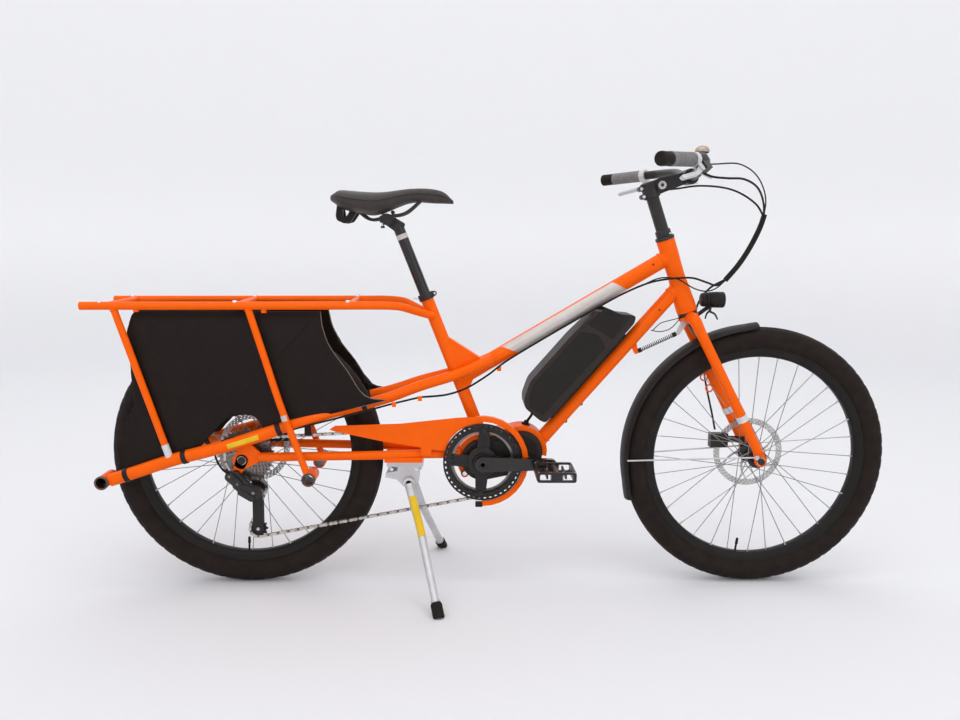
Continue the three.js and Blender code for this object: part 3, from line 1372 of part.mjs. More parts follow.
// Shares of the saddle's length, half width, and the heights of its lower and upper edges
const saddleShares = [
  [0, 0.5, 0.5, 0.68],
  [0.017, 0.68, 0.43, 0.76],
  [0.045, 0.82, 0.31, 0.88],
  [0.09, 0.93, 0.21, 0.9],
  [0.16, 1, 0.12, 0.87],
  [0.24, 1, 0.06, 0.845],
  [0.33, 0.92, 0, 0.83],
  [0.39, 0.8, 0.06, 0.835],
  [0.445, 0.68, 0.14, 0.855],
  [0.53, 0.5, 0.3, 0.915],
  [0.62, 0.36, 0.45, 0.975],
  [0.705, 0.28, 0.51, 1],
  [0.79, 0.24, 0.48, 0.995],
  [0.866, 0.21, 0.465, 0.955],
  [0.924, 0.18, 0.463, 0.88],
  [0.964, 0.14, 0.463, 0.74],
  [1, 0.06, 0.455, 0.52],
];
// Powers that square off its section, and how far its sides are drawn in below
const saddlePowers = { across: 0.7, under: 0.5, crown: 0.85 };
const drawnInShare = 0.28;

function saddleSolid() {
  const around = 20;
  const length = saddle.noseX - saddle.rearX;
  const height = saddle.topZ - saddle.baseZ;
  const positions = [];
  const index = [];
  saddleShares.forEach(([along, wide, low, high]) => {
    const middle = saddle.baseZ + height * (low + high) / 2;
    const half = height * (high - low) / 2;
    for (let k = 0; k < around; k += 1) {
      const angle = (2 * Math.PI * k) / around;
      const c = Math.cos(angle);
      const s = Math.sin(angle);
      const drawnIn = s < 0 ? 1 + drawnInShare * s : 1;
      const across = Math.sign(c) * Math.abs(c) ** saddlePowers.across * drawnIn;
      const up = Math.sign(s) * Math.abs(s) ** (s < 0 ? saddlePowers.under : saddlePowers.crown);
      positions.push(saddle.rearX + along * length, across * wide * saddle.half, middle + half * up);
    }
  });
  for (let i = 0; i < saddleShares.length - 1; i += 1) {
    for (let k = 0; k < around; k += 1) {
      const a = i * around + k;
      const b = i * around + ((k + 1) % around);
      index.push(a, b, b + around, a, b + around, a + around);
    }
  }
  const last = (saddleShares.length - 1) * around;
  for (let k = 1; k < around - 1; k += 1) {
    index.push(0, k + 1, k, last, last + k, last + k + 1);
  }
  const geometry = new THREE.BufferGeometry();
  geometry.setAttribute('position', new THREE.BufferAttribute(new Float32Array(positions), 3));
  geometry.setIndex(index);
  return solid(geometry);
}
const cushion = saddleSolid();
add('seatpost', 'seatpost', cut(
  join(
    rod(onSeat(-post.insertion), postHead, post.radius, post.radius, 12),
    plate(stretched([
      [postHead.x, postHead.z, post.radius],
      [post.clampX, post.clampZ, post.clampRadius],
    ]), -post.neckHalf, post.neckHalf),
    axleRod(post.clampX, post.clampZ, post.clampRadius, -post.clampHalf, post.clampHalf),
    saddleRails,
  ), solid(geometryOf(cushion).translate(0, 0, -touch)), cushion), silver);
add('seatpost', 'saddle', cushion, blackPlastic);

// Cables: places along each route, in millimetres
const cableRoutes = [
  { radius: hoseRadius, steps: 14, places: [
    [1047, -252, 1023], [1066, -250, 1017], [1109, -220, 1016], [1165, -168, 1018], [1225, -95, 1002],
    [1264, -32, 966], [1276, -2, 938],
  ] },
  { radius: hoseRadius, steps: 14, places: [
    [1047, 252, 1023], [1066, 250, 1017], [1109, 220, 1018], [1165, 168, 1024], [1228, 95, 1010],
    [1268, 32, 972], [1279, 3, 940],
  ] },
  { radius: wireRadius, steps: 14, places: [
    [1061, -217, 1045], [1088, -207, 1047], [1150, -171, 1051], [1218, -104, 1029], [1266, -36, 982],
    [1277, -2, 940],
  ] },
  { radius: sheathRadius, steps: 7, places: [
    [1279, 0, 946], [1270, 0, 915], [1248, 0, 866], [1222, 0, 823], [1190, -2, 784],
  ] },
  { radius: hoseRadius, steps: 20, places: [
    [1195, -3, 788], [1165, -16, 772], [1134, -31, 780], [1100, -34, 790], [1068, -33, 790], [1003, -28, 780],
    [935, -26, 752], [850, -25, 704], [740, -25, 639], [640, -25, 576], [600, -27, 545], [547, -38, 514],
    [500, -49, 500], [434, -62, 495.5],
  ] },
  { radius: wireRadius, steps: 14, places: [
    [1193, -2, 786], [1160, -22, 764], [1136, -29, 758], [1106, -33, 764], [1060, -30, 788], [1020, -27, 789],
    [990, -23, 777],
  ] },
  { radius: hoseRadius, steps: 13, places: [
    [1192, 2, 786], [1160, 24, 762], [1140, 52, 718], [1140, 66, 660], [1158, 70, 600], [1180, 70, 500],
    [1196, 62, 430], [1200, 44, 392],
  ] },
];
add('frame', 'control_cables', join(cableRoutes.map(({ radius, steps, places }) =>
  tube(places.map(([x, y, z]) => vec(x, y, z)), radius, steps, 5))), blackPlastic);

// The ground under the middle of the bike's box becomes the origin
bike.position.x = -(rail.rearX + wheelBase + beadRadius + frontTyre.section) / 2;
bike.updateMatrixWorld(true);

export default bike;
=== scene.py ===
# Longtail cargo bike, dressed. Places are in millimetres from the rear axle's foot on the ground,
# X forward, Y to the rider's left, Z up, until at() turns them into the frame's metres.
from math import asin, atan2, ceil, cos, hypot, pi, radians, sin

import bmesh
import bpy
from mathutils import Matrix, Vector
from mathutils.geometry import tessellate_polygon


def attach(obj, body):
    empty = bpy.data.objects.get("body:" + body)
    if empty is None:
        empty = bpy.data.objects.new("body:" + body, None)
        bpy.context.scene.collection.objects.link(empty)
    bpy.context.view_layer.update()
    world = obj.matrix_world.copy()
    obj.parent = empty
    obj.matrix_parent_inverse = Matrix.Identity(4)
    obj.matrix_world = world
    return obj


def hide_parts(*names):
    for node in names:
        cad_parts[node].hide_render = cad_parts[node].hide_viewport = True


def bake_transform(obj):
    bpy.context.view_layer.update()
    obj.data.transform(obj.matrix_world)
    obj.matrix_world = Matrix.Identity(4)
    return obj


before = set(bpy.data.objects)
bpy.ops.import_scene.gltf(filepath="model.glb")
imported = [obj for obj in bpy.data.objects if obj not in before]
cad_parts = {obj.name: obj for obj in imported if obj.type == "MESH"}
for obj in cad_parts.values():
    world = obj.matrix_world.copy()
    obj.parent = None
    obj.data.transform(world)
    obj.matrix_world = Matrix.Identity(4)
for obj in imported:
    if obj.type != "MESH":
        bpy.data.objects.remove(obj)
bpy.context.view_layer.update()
scene = bpy.context.scene
ORIGIN_X = 633


def at(x, y, z):
    return Vector(((x - ORIGIN_X) / 1000, y / 1000, z / 1000))


# Camera, at the photograph's angle
YAW, PITCH, ROLL = radians(1.57), radians(8.73), radians(0.59)
forward = Vector((sin(YAW) * cos(PITCH), cos(YAW) * cos(PITCH), -sin(PITCH)))
level = Vector((cos(YAW), -sin(YAW), 0))
above = level.cross(forward)
right = level * cos(ROLL) + above * sin(ROLL)
upward = above * cos(ROLL) - level * sin(ROLL)
camera = bpy.data.objects.new("camera", bpy.data.cameras.new("camera"))
camera.data.lens = 30.15
camera.data.sensor_width = 36
turn = Matrix((right, upward, -forward)).transposed()
camera.matrix_world = Matrix.Translation(at(527, -1993.2, 885.2)) @ turn.to_4x4()
scene.collection.objects.link(camera)
scene.camera = camera
scene.view_settings.view_transform = "Standard"


# Materials: a colour that varies a little over the surface, its gloss and its grain
ROUGH_SPREAD = 0.06


def surface(name, colour, rough=0.5, metal=0.0, grain=400.0, depth=0.1, spread=0.08, coat=0.0,
            stretch=(1, 1, 1), spec=0.3):
    made = bpy.data.materials.new(name)
    made.use_nodes = True
    nodes, link = made.node_tree.nodes, made.node_tree.links.new
    shader = nodes["Principled BSDF"]
    place = nodes.new("ShaderNodeTexCoord")
    mapping = nodes.new("ShaderNodeMapping")
    mapping.inputs["Scale"].default_value = stretch
    link(place.outputs["Object"], mapping.inputs["Vector"])

    def noise(scale, detail):
        made_noise = nodes.new("ShaderNodeTexNoise")
        made_noise.inputs["Scale"].default_value = scale
        made_noise.inputs["Detail"].default_value = detail
        link(mapping.outputs["Vector"], made_noise.inputs["Vector"])
        return made_noise

    broad, fine = noise(grain / 14, 3), noise(grain, 4)
    ramp = nodes.new("ShaderNodeValToRGB")
    for stop, spot, change in zip(ramp.color_ramp.elements, (0.3, 0.7), (1 - spread, 1 + spread)):
        stop.position = spot
        stop.color = (*[min(1, c * change) for c in colour], 1)
    link(broad.outputs["Fac"], ramp.inputs["Fac"])
    link(ramp.outputs["Color"], shader.inputs["Base Color"])
    scaled = nodes.new("ShaderNodeMapRange")
    scaled.inputs["To Min"].default_value = max(0.02, rough - ROUGH_SPREAD)
    scaled.inputs["To Max"].default_value = min(1, rough + ROUGH_SPREAD)
    link(fine.outputs["Fac"], scaled.inputs["Value"])
    link(scaled.outputs["Result"], shader.inputs["Roughness"])
    bump = nodes.new("ShaderNodeBump")
    bump.inputs["Strength"].default_value = depth
    bump.inputs["Distance"].default_value = 0.0004
    link(fine.outputs["Fac"], bump.inputs["Height"])
    link(bump.outputs["Normal"], shader.inputs["Normal"])
    for word, value in (("Metallic", metal), ("Specular IOR Level", spec), ("Coat Weight", coat),
                        ("Coat Roughness", 0.07)):
        shader.inputs[word].default_value = value
    return made


orange = surface("orange paint", (0.95, 0.124, 0.0008), 0.3, grain=500, depth=0.04, spread=0.03, coat=0.14,
                 spec=0.05)
decal = surface("silver film", (0.58, 0.53, 0.5), 0.36, 0.3, 900, 0.05, 0.05, 0.2)
pale = surface("white film", (0.66, 0.67, 0.69), 0.45, 0, 900, 0.03, 0.05)
yellow = surface("yellow film", (0.78, 0.5, 0.012), 0.42, 0, 700, 0.04, 0.06)
black = surface("black paint", (0.011, 0.0085, 0.0075), 0.34, 0, 600, 0.05, 0.2, spec=0.35)
gloss = surface("gloss black", (0.012, 0.009, 0.009), 0.17, 0, 600, 0.04, 0.15, spec=0.5)
rim_black = surface("rim black", (0.0095, 0.007, 0.006), 0.45, 0, 600, 0.05, 0.15, spec=0.22)
satin = surface("black anodised", (0.014, 0.011, 0.01), 0.4, 0, 700, 0.08, 0.2, spec=0.45)
plastic = surface("black plastic", (0.012, 0.0085, 0.0075), 0.5, 0, 1400, 0.3, 0.15, spec=0.25)
case = surface("case plastic", (0.027, 0.0185, 0.0158), 0.5, 0, 1800, 0.3, 0.1, spec=0.25)
vinyl = surface("panel vinyl", (0.0105, 0.0062, 0.0045), 0.45, 0, 1100, 0.35, 0.12, spec=0.16)
hem_edge = surface("panel edge", (0.16, 0.13, 0.11), 0.6, 0, 900, 0.2, 0.2)
hide = surface("saddle cover", (0.042, 0.034, 0.032), 0.52, 0, 1500, 0.5, 0.15, spec=0.35)
rubber = surface("rubber", (0.013, 0.01, 0.0085), 0.68, 0, 900, 0.4, 0.2, spec=0.2)
tread = surface("tyre rubber", (0.0155, 0.0098, 0.008), 0.66, 0, 500, 0.45, 0.25, spec=0.15)
ring_grey = surface("socket cap", (0.1, 0.075, 0.062), 0.6, 0, 900, 0.3, 0.15)
grey_rubber = surface("grey rubber", (0.2, 0.19, 0.19), 0.6, 0, 900, 0.5, 0.12)
silver = surface("cast alloy", (0.62, 0.62, 0.63), 0.42, 0.6, 500, 0.25, 0.08)
bright = surface("bright alloy", (0.75, 0.74, 0.73), 0.24, 1, 800, 0.1, 0.05)
steel = surface("steel", (0.6, 0.58, 0.56), 0.3, 1, 900, 0.15, 0.1, stretch=(1, 1, 6))
cog_steel = surface("sprocket steel", (0.26, 0.23, 0.21), 0.34, 1, 900, 0.15, 0.15)
spring_steel = surface("spring steel", (0.05, 0.045, 0.042), 0.3, 0.6, 900, 0.1, 0.15, spec=0.5)
chain_steel = surface("chain steel", (0.55, 0.5, 0.46), 0.32, 1, 1200, 0.2, 0.3)
chain_dark = surface("chain inner steel", (0.16, 0.135, 0.12), 0.4, 1, 1200, 0.2, 0.3)
champagne = surface("bell dome", (0.42, 0.33, 0.27), 0.3, 0.8, 600, 0.08, 0.06)
spoke_steel = surface("spoke steel", (0.3, 0.29, 0.28), 0.35, 1, 900, 0.1, 0.1)
disc_steel = surface("disc steel", (0.5, 0.485, 0.47), 0.34, 1, 900, 0.2, 0.1)
glass = surface("lens", (0.9, 0.92, 0.95), 0.06, 0, 300, 0.1, 0.02, spec=0.5)
glass.node_tree.nodes["Principled BSDF"].inputs["Transmission Weight"].default_value = 0.85


def unit(v):
    return Vector(v).normalized()


def smooth_path(points, steps=6):
    """A centripetal curve through points."""
    pts = [Vector(p) for p in points]
    ends = [pts[0] * 2 - pts[1], *pts, pts[-1] * 2 - pts[-2]]
    out = []
    for p0, p1, p2, p3 in zip(ends, ends[1:], ends[2:], ends[3:]):
        t1 = (p1 - p0).length ** 0.5
        t2 = t1 + (p2 - p1).length ** 0.5
        t3 = t2 + (p3 - p2).length ** 0.5
        for k in range(steps):
            t = t1 + (t2 - t1) * k / steps
            a = p0.lerp(p1, t / t1)
            b = p1.lerp(p2, (t - t1) / (t2 - t1))
            c = p2.lerp(p3, (t - t2) / (t3 - t2))
            d = a.lerp(b, t / t2)
            e = b.lerp(c, (t - t1) / (t3 - t1))
            out.append(d.lerp(e, (t - t1) / (t2 - t1)))
    return [*out, pts[-1]]


def square_to(axis):
    """Two directions square to an axis and to each other."""
    side = axis.orthogonal().normalized()
    return side, axis.cross(side)


def loop_of(place, side, other, radius, count):
    """Points of a circle in space."""
    return [place + side * (radius * cos(a)) + other * (radius * sin(a))
            for a in (2 * pi * k / count for k in range(count))]


def as_mesh(made, name):
    data = bpy.data.meshes.new(name)
    made.to_mesh(data)
    made.free()
    return data


def polar(x, z, radius, angle):
    return x + radius * cos(angle), z + radius * sin(angle)


def circle(x, z, radius, count=48):
    return [polar(x, z, radius, 2 * pi * k / count) for k in range(count)]


def span(side, inner, outer):
    """Two distances from the middle plane, as low and high on one side."""
    return sorted((side * inner, side * outer))


def hull(circles, count=48):
    """The outline stretched round circles, each (x, z, radius)."""
    pts = sorted(p for x, z, r in circles for p in circle(x, z, r, count))

    def half(items):
        chosen = []
        for p in items:
            while len(chosen) > 1:
                (ax, ay), (bx, by) = chosen[-2], chosen[-1]
                if (bx - ax) * (p[1] - ay) - (by - ay) * (p[0] - ax) > 0:
                    break
                chosen.pop()
            chosen.append(p)
        return chosen[:-1]

    return half(pts) + half(pts[::-1])


def upright(u, v, w):
    return u, w, v


class Form:
    """Gathers the surfaces of one piece, in millimetres."""

    def __init__(self):
        self.verts, self.faces, self.slots = [], [], []

    def put(self, verts, faces, m=0):
        base = len(self.verts)
        self.verts += [Vector(v) for v in verts]
        self.faces += [[base + i for i in f] for f in faces]
        self.slots += [m] * len(faces)
        return self

    def rings(self, rings, m=0, caps=True, closed=False, around=True):
        n, total = len(rings[0]), len(rings)
        faces = []
        for i in range(total if closed else total - 1):
            j = (i + 1) % total
            for k in range(n if around else n - 1):
                q = (k + 1) % n
                faces.append([i * n + k, i * n + q, j * n + q, j * n + k])
        if caps and not closed:
            faces += [list(range(n))[::-1], [(total - 1) * n + k for k in range(n)]]
        return self.put([p for ring in rings for p in ring], faces, m)

    def tube(self, path, radius, sides=20, m=0, caps=True):
        path = [Vector(p) for p in path]
        side = unit(path[1] - path[0]).orthogonal().normalized()
        rings = []
        for i, p in enumerate(path):
            way = unit(path[min(i + 1, len(path) - 1)] - path[max(i - 1, 0)])
            side = unit(side - way * side.dot(way))
            r = radius(i / (len(path) - 1)) if callable(radius) else radius
            rings.append(loop_of(p, side, way.cross(side), r, sides))
        return self.rings(rings, m, caps)

    def rod(self, a, b, r0, r1=None, sides=24, m=0):
        r1 = r0 if r1 is None else r1
        return self.tube([a, b], lambda t: r0 + (r1 - r0) * t, sides, m)

    def cross(self, x, z, radius, low, high, sides=32, m=0):
        return self.rod((x, low, z), (x, high, z), radius, None, sides, m)

    def lathe(self, profile, origin, axis, segments=48, m=0, closed=False):
        origin, axis = Vector(origin), unit(axis)
        side, other = square_to(axis)
        rings = [loop_of(origin + axis * h, side, other, r, segments) for r, h in profile]
        return self.rings(rings, m, not closed, closed)

    def prism(self, loops, low, high, m=0, place=upright):
        loops = loops if isinstance(loops[0][0], (tuple, list)) else [loops]
        flat = [p for loop in loops for p in loop]
        n = len(flat)
        cover = tessellate_polygon([[Vector((u, v, 0)) for u, v in loop] for loop in loops])
        faces = [list(t) for t in cover] + [[i + n for i in t][::-1] for t in cover]
        start = 0
        for loop in loops:
            size = len(loop)
            for k in range(size):
                a, b = start + k, start + (k + 1) % size
                faces.append([a, b, b + n, a + n])
            start += size
        return self.put([place(u, v, w) for w in (low, high) for u, v in flat], faces, m)

    def box(self, low, high, m=0):
        (ax, ay, az), (bx, by, bz) = low, high
        return self.prism([(ax, az), (bx, az), (bx, bz), (ax, bz)], ay, by, m)

    def build(self, name, body, mats, replaced=(), sharp=38, bevel=0.0, segments=2):
        made = bmesh.new()
        verts = [made.verts.new(at(*v)) for v in self.verts]
        for face, m in zip(self.faces, self.slots):
            f = made.faces.new([verts[i] for i in face])
            f.material_index = m
        bmesh.ops.remove_doubles(made, verts=made.verts, dist=2e-6)
        bmesh.ops.recalc_face_normals(made, faces=made.faces)
        return finished(name, body, as_mesh(made, name), mats, replaced, sharp, bevel, segments)

    def stand_in(self, node, body, mats, sharp=38, bevel=0.0, segments=2):
        """The piece that replaces one solid, and is named after it."""
        return self.build(f"{node}_dressed", body, mats, node, sharp, bevel, segments)


def finished(name, body, data, mats, replaced, sharp, bevel, segments=2):
    for polygon in data.polygons:
        polygon.use_smooth = True
    data.set_sharp_from_angle(angle=radians(sharp))
    for mat in mats if isinstance(mats, list) else [mats]:
        data.materials.append(mat)
    piece = bpy.data.objects.new(name, data)
    scene.collection.objects.link(piece)
    if bevel:
        edge = piece.modifiers.new("edges", "BEVEL")
        edge.width = bevel / 1000
        edge.segments = segments
        edge.limit_method = "ANGLE"
        edge.angle_limit = radians(42)
        edge.harden_normals = True
    if body:
        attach(piece, body)
    if replaced:
        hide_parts(*([replaced] if isinstance(replaced, str) else replaced))
    return piece


def dressed(node, body, mat, bevel=0.8, sharp=40, name=None):
    """A carried-over solid with rounded edges and its own finish."""
    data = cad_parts[node].data.copy()
    data.materials.clear()
    return finished(name or f"{node}_dressed", body, data, mat, node, sharp, bevel)


# Places and sizes that several pieces share
REAR_Z = 338.5
FRONT_X, FRONT_Z = 1288, 334
CRANK_X, CRANK_Z, CRANK_LENGTH = 589, 331, 170
MOTOR_X, MOTOR_Z = 688, 352
UPPER_PULLEY, LOWER_PULLEY = (30, 262), (29, 156)
CHAIN_Y = -47
STAND_X, STAND_Z = 405, 272
BAR_X, BAR_Z = 1087, 1034
HINGE_X, HINGE_Z = 1018.5, 1013
BELL = (1088, -96)
RAIL_HALF, RAIL_RADIUS, STRUT_RADIUS = 97, 9.7, 8.4
SOCKET_IN, SOCKET_OUT = 46, 111
RIM_SEAT, DISC_THICK = 279.5, 2
HEAD_ANGLE = radians(70.5)

# Main lines of the frame
UP = Vector((-cos(HEAD_ANGLE), 0, sin(HEAD_ANGLE)))
HEAD_LOW = Vector((1098, 0, 706))
SEAT_TOP, SEAT_LOW = Vector((446, 0, 738)), Vector((600, 0, 352))
SEAT_UP = unit(SEAT_TOP - SEAT_LOW)
SIDES = ((1, "left"), (-1, "right"))


def on_head(d):
    return HEAD_LOW + UP * d


def on_seat(d):
    return SEAT_TOP + SEAT_UP * d


DOWN_TOP, DOWN_LOW = on_head(67), Vector((732, 0, 368))
DOWN_WAY = unit(DOWN_TOP - DOWN_LOW)
DOWN_OUT = Vector((-DOWN_WAY.z, 0, DOWN_WAY.x))
TOP_FRONT, TOP_LOW = on_head(145), Vector((530, 0, 531.4))
TOP_WAY = unit(TOP_FRONT - TOP_LOW)


def bead(form, place, way, radius, m=0, size=2.2):
    """A weld bead: a rippled ring round a tube."""
    path = loop_of(Vector(place), *square_to(unit(way)), radius, 72)
    return form.tube([*path, path[0]], lambda t: size * (1 + 0.12 * (round(t * 72) % 2)), 8, m, False)


def band(form, a, b, radius, m=0, lift=0.5):
    """A flat band or film round a tube, from a to b."""
    a, b = Vector(a), Vector(b)
    inner, outer, reach = radius - 1, radius + lift, (b - a).length
    return form.lathe([(inner, 0), (outer, 0), (outer, reach), (inner, reach)], a, b - a, 40, m, True)


# Head tube with its cups
head = Form()
head.lathe([(16, -0.5), (25, -0.5), (25.4, 3), (25.2, 22), (23.6, 52), (20.9, 92), (21.2, 120), (22.3, 148),
            (22.6, 183), (22.2, 186.5), (16, 186.5)], HEAD_LOW, UP, 56)
head.lathe([(15, -9), (23.4, -9), (24, -7.5), (24, -1.5), (15, -1.5)], HEAD_LOW, UP, 56, 1)
head.lathe([(15, 187), (23.6, 187), (23.6, 193.5), (22.5, 195), (15, 195)], HEAD_LOW, UP, 56, 1)
for place, way in ((on_head(145) - TOP_WAY * 25, TOP_WAY), (on_head(67) - DOWN_WAY * 27, DOWN_WAY)):
    bead(head, place, way, 19.3 if way == TOP_WAY else 17.3)
head.stand_in("head_tube", "frame", [orange, satin])

# Top tube, its gusset, and its plain silver panels
top = Form()
top.rod(TOP_LOW, TOP_FRONT, 19.5, None, 40)
top.prism([(490, 645), (545.7, 489), (560, 520), (586, 584)], -13, 13)
top.stand_in("top_tube", "frame", orange, 38, 2.5, 3)
panel = Form()
for side, _ in SIDES:
    rows = []
    for k in range(15):
        lift = radians(-62 + 124 * k / 14)
        around = Vector((-TOP_WAY.z, 0, TOP_WAY.x)) * sin(lift) + Vector((0, side, 0)) * cos(lift)
        start, end = 132 + 34 * (1 - k / 14), 448 + 26 * (1 - k / 14)
        rows.append([TOP_LOW + TOP_WAY * (start + (end - start) * s / 24) + around * 19.85
                     for s in range(25)])
    panel.rings(rows, 0, False, False, False)
panel.build("top_tube_panels", "frame", decal)
bosses = Form()
for x, z, y in ((1004, 822, 18.6), (1024.7, 710, 16.5)):
    for side, _ in SIDES:
        bosses.lathe([(2, -2), (5, -2), (5, 1.2), (3.6, 1.6), (2.4, 1.6), (2.4, -1)],
                     (x, side * y, z), (0, side, 0), 24, 0)
        bosses.cross(x, z, 2.4, side * y - 1, side * y + 0.6, 16, 1)
for x, z in ((850.8, 458), (808.5, 417)):
    spot = DOWN_LOW + DOWN_WAY * (Vector((x, 0, z)) - DOWN_LOW).dot(DOWN_WAY) - DOWN_OUT * 17
    bosses.lathe([(0, -1), (4, -1), (4, 2), (3, 3.2), (0, 3.2)], spot, -DOWN_OUT, 20, 2)
bosses.build("frame_bosses", "frame", [orange, black, satin])


# Down tube and the motor bracket
SHELL_REAR, SHELL_FRONT, SHELL_STEPS = radians(221), radians(-12), 26


def drive_outline(radius):
    """From the shell's rear over the top to its front, round both shafts of the drive."""
    lean = atan2(MOTOR_Z - CRANK_Z, MOTOR_X - CRANK_X) + pi / 2
    turns = [k / SHELL_STEPS for k in range(SHELL_STEPS + 1)]
    rear = [polar(CRANK_X, CRANK_Z, radius, SHELL_REAR + (lean - SHELL_REAR) * t) for t in turns]
    return rear + [polar(MOTOR_X, MOTOR_Z, radius, lean + (SHELL_FRONT - lean) * t) for t in turns]


down = Form()
down.rod(DOWN_LOW, DOWN_TOP, 17.5, None, 40)
down.prism(drive_outline(64) + drive_outline(52.3)[::-1], -28, 28)
lug = polar(CRANK_X, CRANK_Z, 58, SHELL_REAR)
down.prism(hull([(*lug, 10)]), -28, 28)
down.prism(hull([(974, 602, 5), (966, 626, 8)]), -3, 3)
down.stand_in("down_tube", "frame", orange, 38, 1.6, 3)
trim = Form()
for y in (-28.6, 28.6):
    trim.cross(*lug, 5.5, *sorted((y, y * 0.9)), 24)
bead(trim, DOWN_LOW + DOWN_WAY * 22, DOWN_WAY, 17.3, 1)
trim.build("bracket_bolts", "frame", [bright, orange])

# Seat tube, open at its top
seat = Form()
seat.lathe([(14.4, 0), (15.9, 0), (15.9, -352), (14.4, -352)], SEAT_TOP, SEAT_UP, 40, 0, True)
bead(seat, on_seat(-350), SEAT_UP, 15.6)
seat.stand_in("seat_tube", "frame", orange)

# Side tubes, with a footrest socket at each tail
SIDE_SHARES = ((1, 0.22, 1), (0.904, 0.334, 0.874), (0.813, 0.467, 0.787), (0.726, 0.6, 0.69),
               (0.571, 0.8, 0.564), (0.47, 0.911, 0.468), (0.421, 0.967, 0.415), (0.318, 1, 0.312),
               (0.189, 1, 0.201), (0.085, 1, 0.09), (0, 1, 0))
SIDE_REAR, SIDE_FOOT, SIDE_LONG, SIDE_HALF, SIDE_HIGH = -342, 283, 954, 90, 301


def side_route(side):
    return [Vector((SIDE_REAR + a * SIDE_LONG, side * (30.1 if i == 1 else b * SIDE_HALF),
                    SIDE_FOOT + c * SIDE_HIGH))
            for i, (a, b, c) in enumerate(SIDE_SHARES)]


def socket(form, x, z, side):
    """An open tube across the bike, with a liner and a cap ring at its outer end."""
    low, high = span(side, SOCKET_IN, SOCKET_OUT)
    near, far = span(side, SOCKET_OUT - 4, SOCKET_OUT + 0.6)
    length = high - low
    form.lathe([(13.1, near), (16.6, near), (16.9, near + 0.5), (16.9, far - 0.5), (16.4, far), (13.1, far)],
               (x, 0, z), (0, 1, 0), 40, 2, True)
    form.lathe([(13, 0), (15.6, 0), (16, 0.8), (16, length - 0.8), (15.6, length), (13, length)],
               (x, low, z), (0, 1, 0), 40, 0, True)
    form.lathe([(12.9, 1), (13.2, 1), (13.2, length - 1), (12.9, length - 1)],
               (x, low, z), (0, 1, 0), 32, 1, True)


for side, word in SIDES:
    form = Form()
    route = smooth_path(side_route(side), 8)
    form.tube([p for p in route if p.x > -312], lambda t: 13 + 2.5 * min(1, max(0, (t - 0.47) / 0.14)), 32)
    socket(form, -327, 291, side)
    form.stand_in(f"side_tube_{word}", "frame", [orange, satin, ring_grey])
    straps = Form()
    for x, r in ((-270, 15.5), (-126, 15.5), (96, 15.5), (292, 13)):
        near = min(range(len(route) - 1), key=lambda i: abs(route[i].x - x))
        way = unit(route[near + 1] - route[near - 1])
        band(straps, route[near] - way * 6, route[near] + way * 6, r + 0.2, 0, 1.6)
        straps.box((route[near].x - 5, side * 76 - 3, route[near].z + 6),
                   (route[near].x + 5, side * 76 + 3, route[near].z + 26))
    straps.build(f"panel_straps_{word}", "frame", plastic, (), 38, 0.8)

# Chainstays with dropouts, and the plate that carries the stand
stays = Form()
for side, _ in SIDES:
    rear, middle, end = [Vector((x, side * y, 346)) for x, y in ((40, 71.3), (330, 50), (533, 31))]
    bend = middle.lerp(end, 0.55)
    bend.y = side * (50 - 0.63 * 19)
    stays.tube(smooth_path([rear, rear.lerp(middle, 0.5), middle, bend, end], 7), 11, 28)
    low, high = span(side, 67.8, 74.8)
    plate = hull([(0, REAR_Z, 22), (10, 372, 14), (40, 346, 11)], 40)
    stays.prism([plate, circle(0, REAR_Z, 6.2, 24)], low, high)
    if side < 0:
        stays.prism(hull([(0, REAR_Z, 15), (-15, 303, 10)]), low, high)
stays.box((345, -56, 328.5), (440, 56, 340.5))
stays.stand_in("chainstays", "frame", orange, 38, 1.2)


# Rack
def rail_height(x):
    return 716 + 6 * (x + 356) / 686


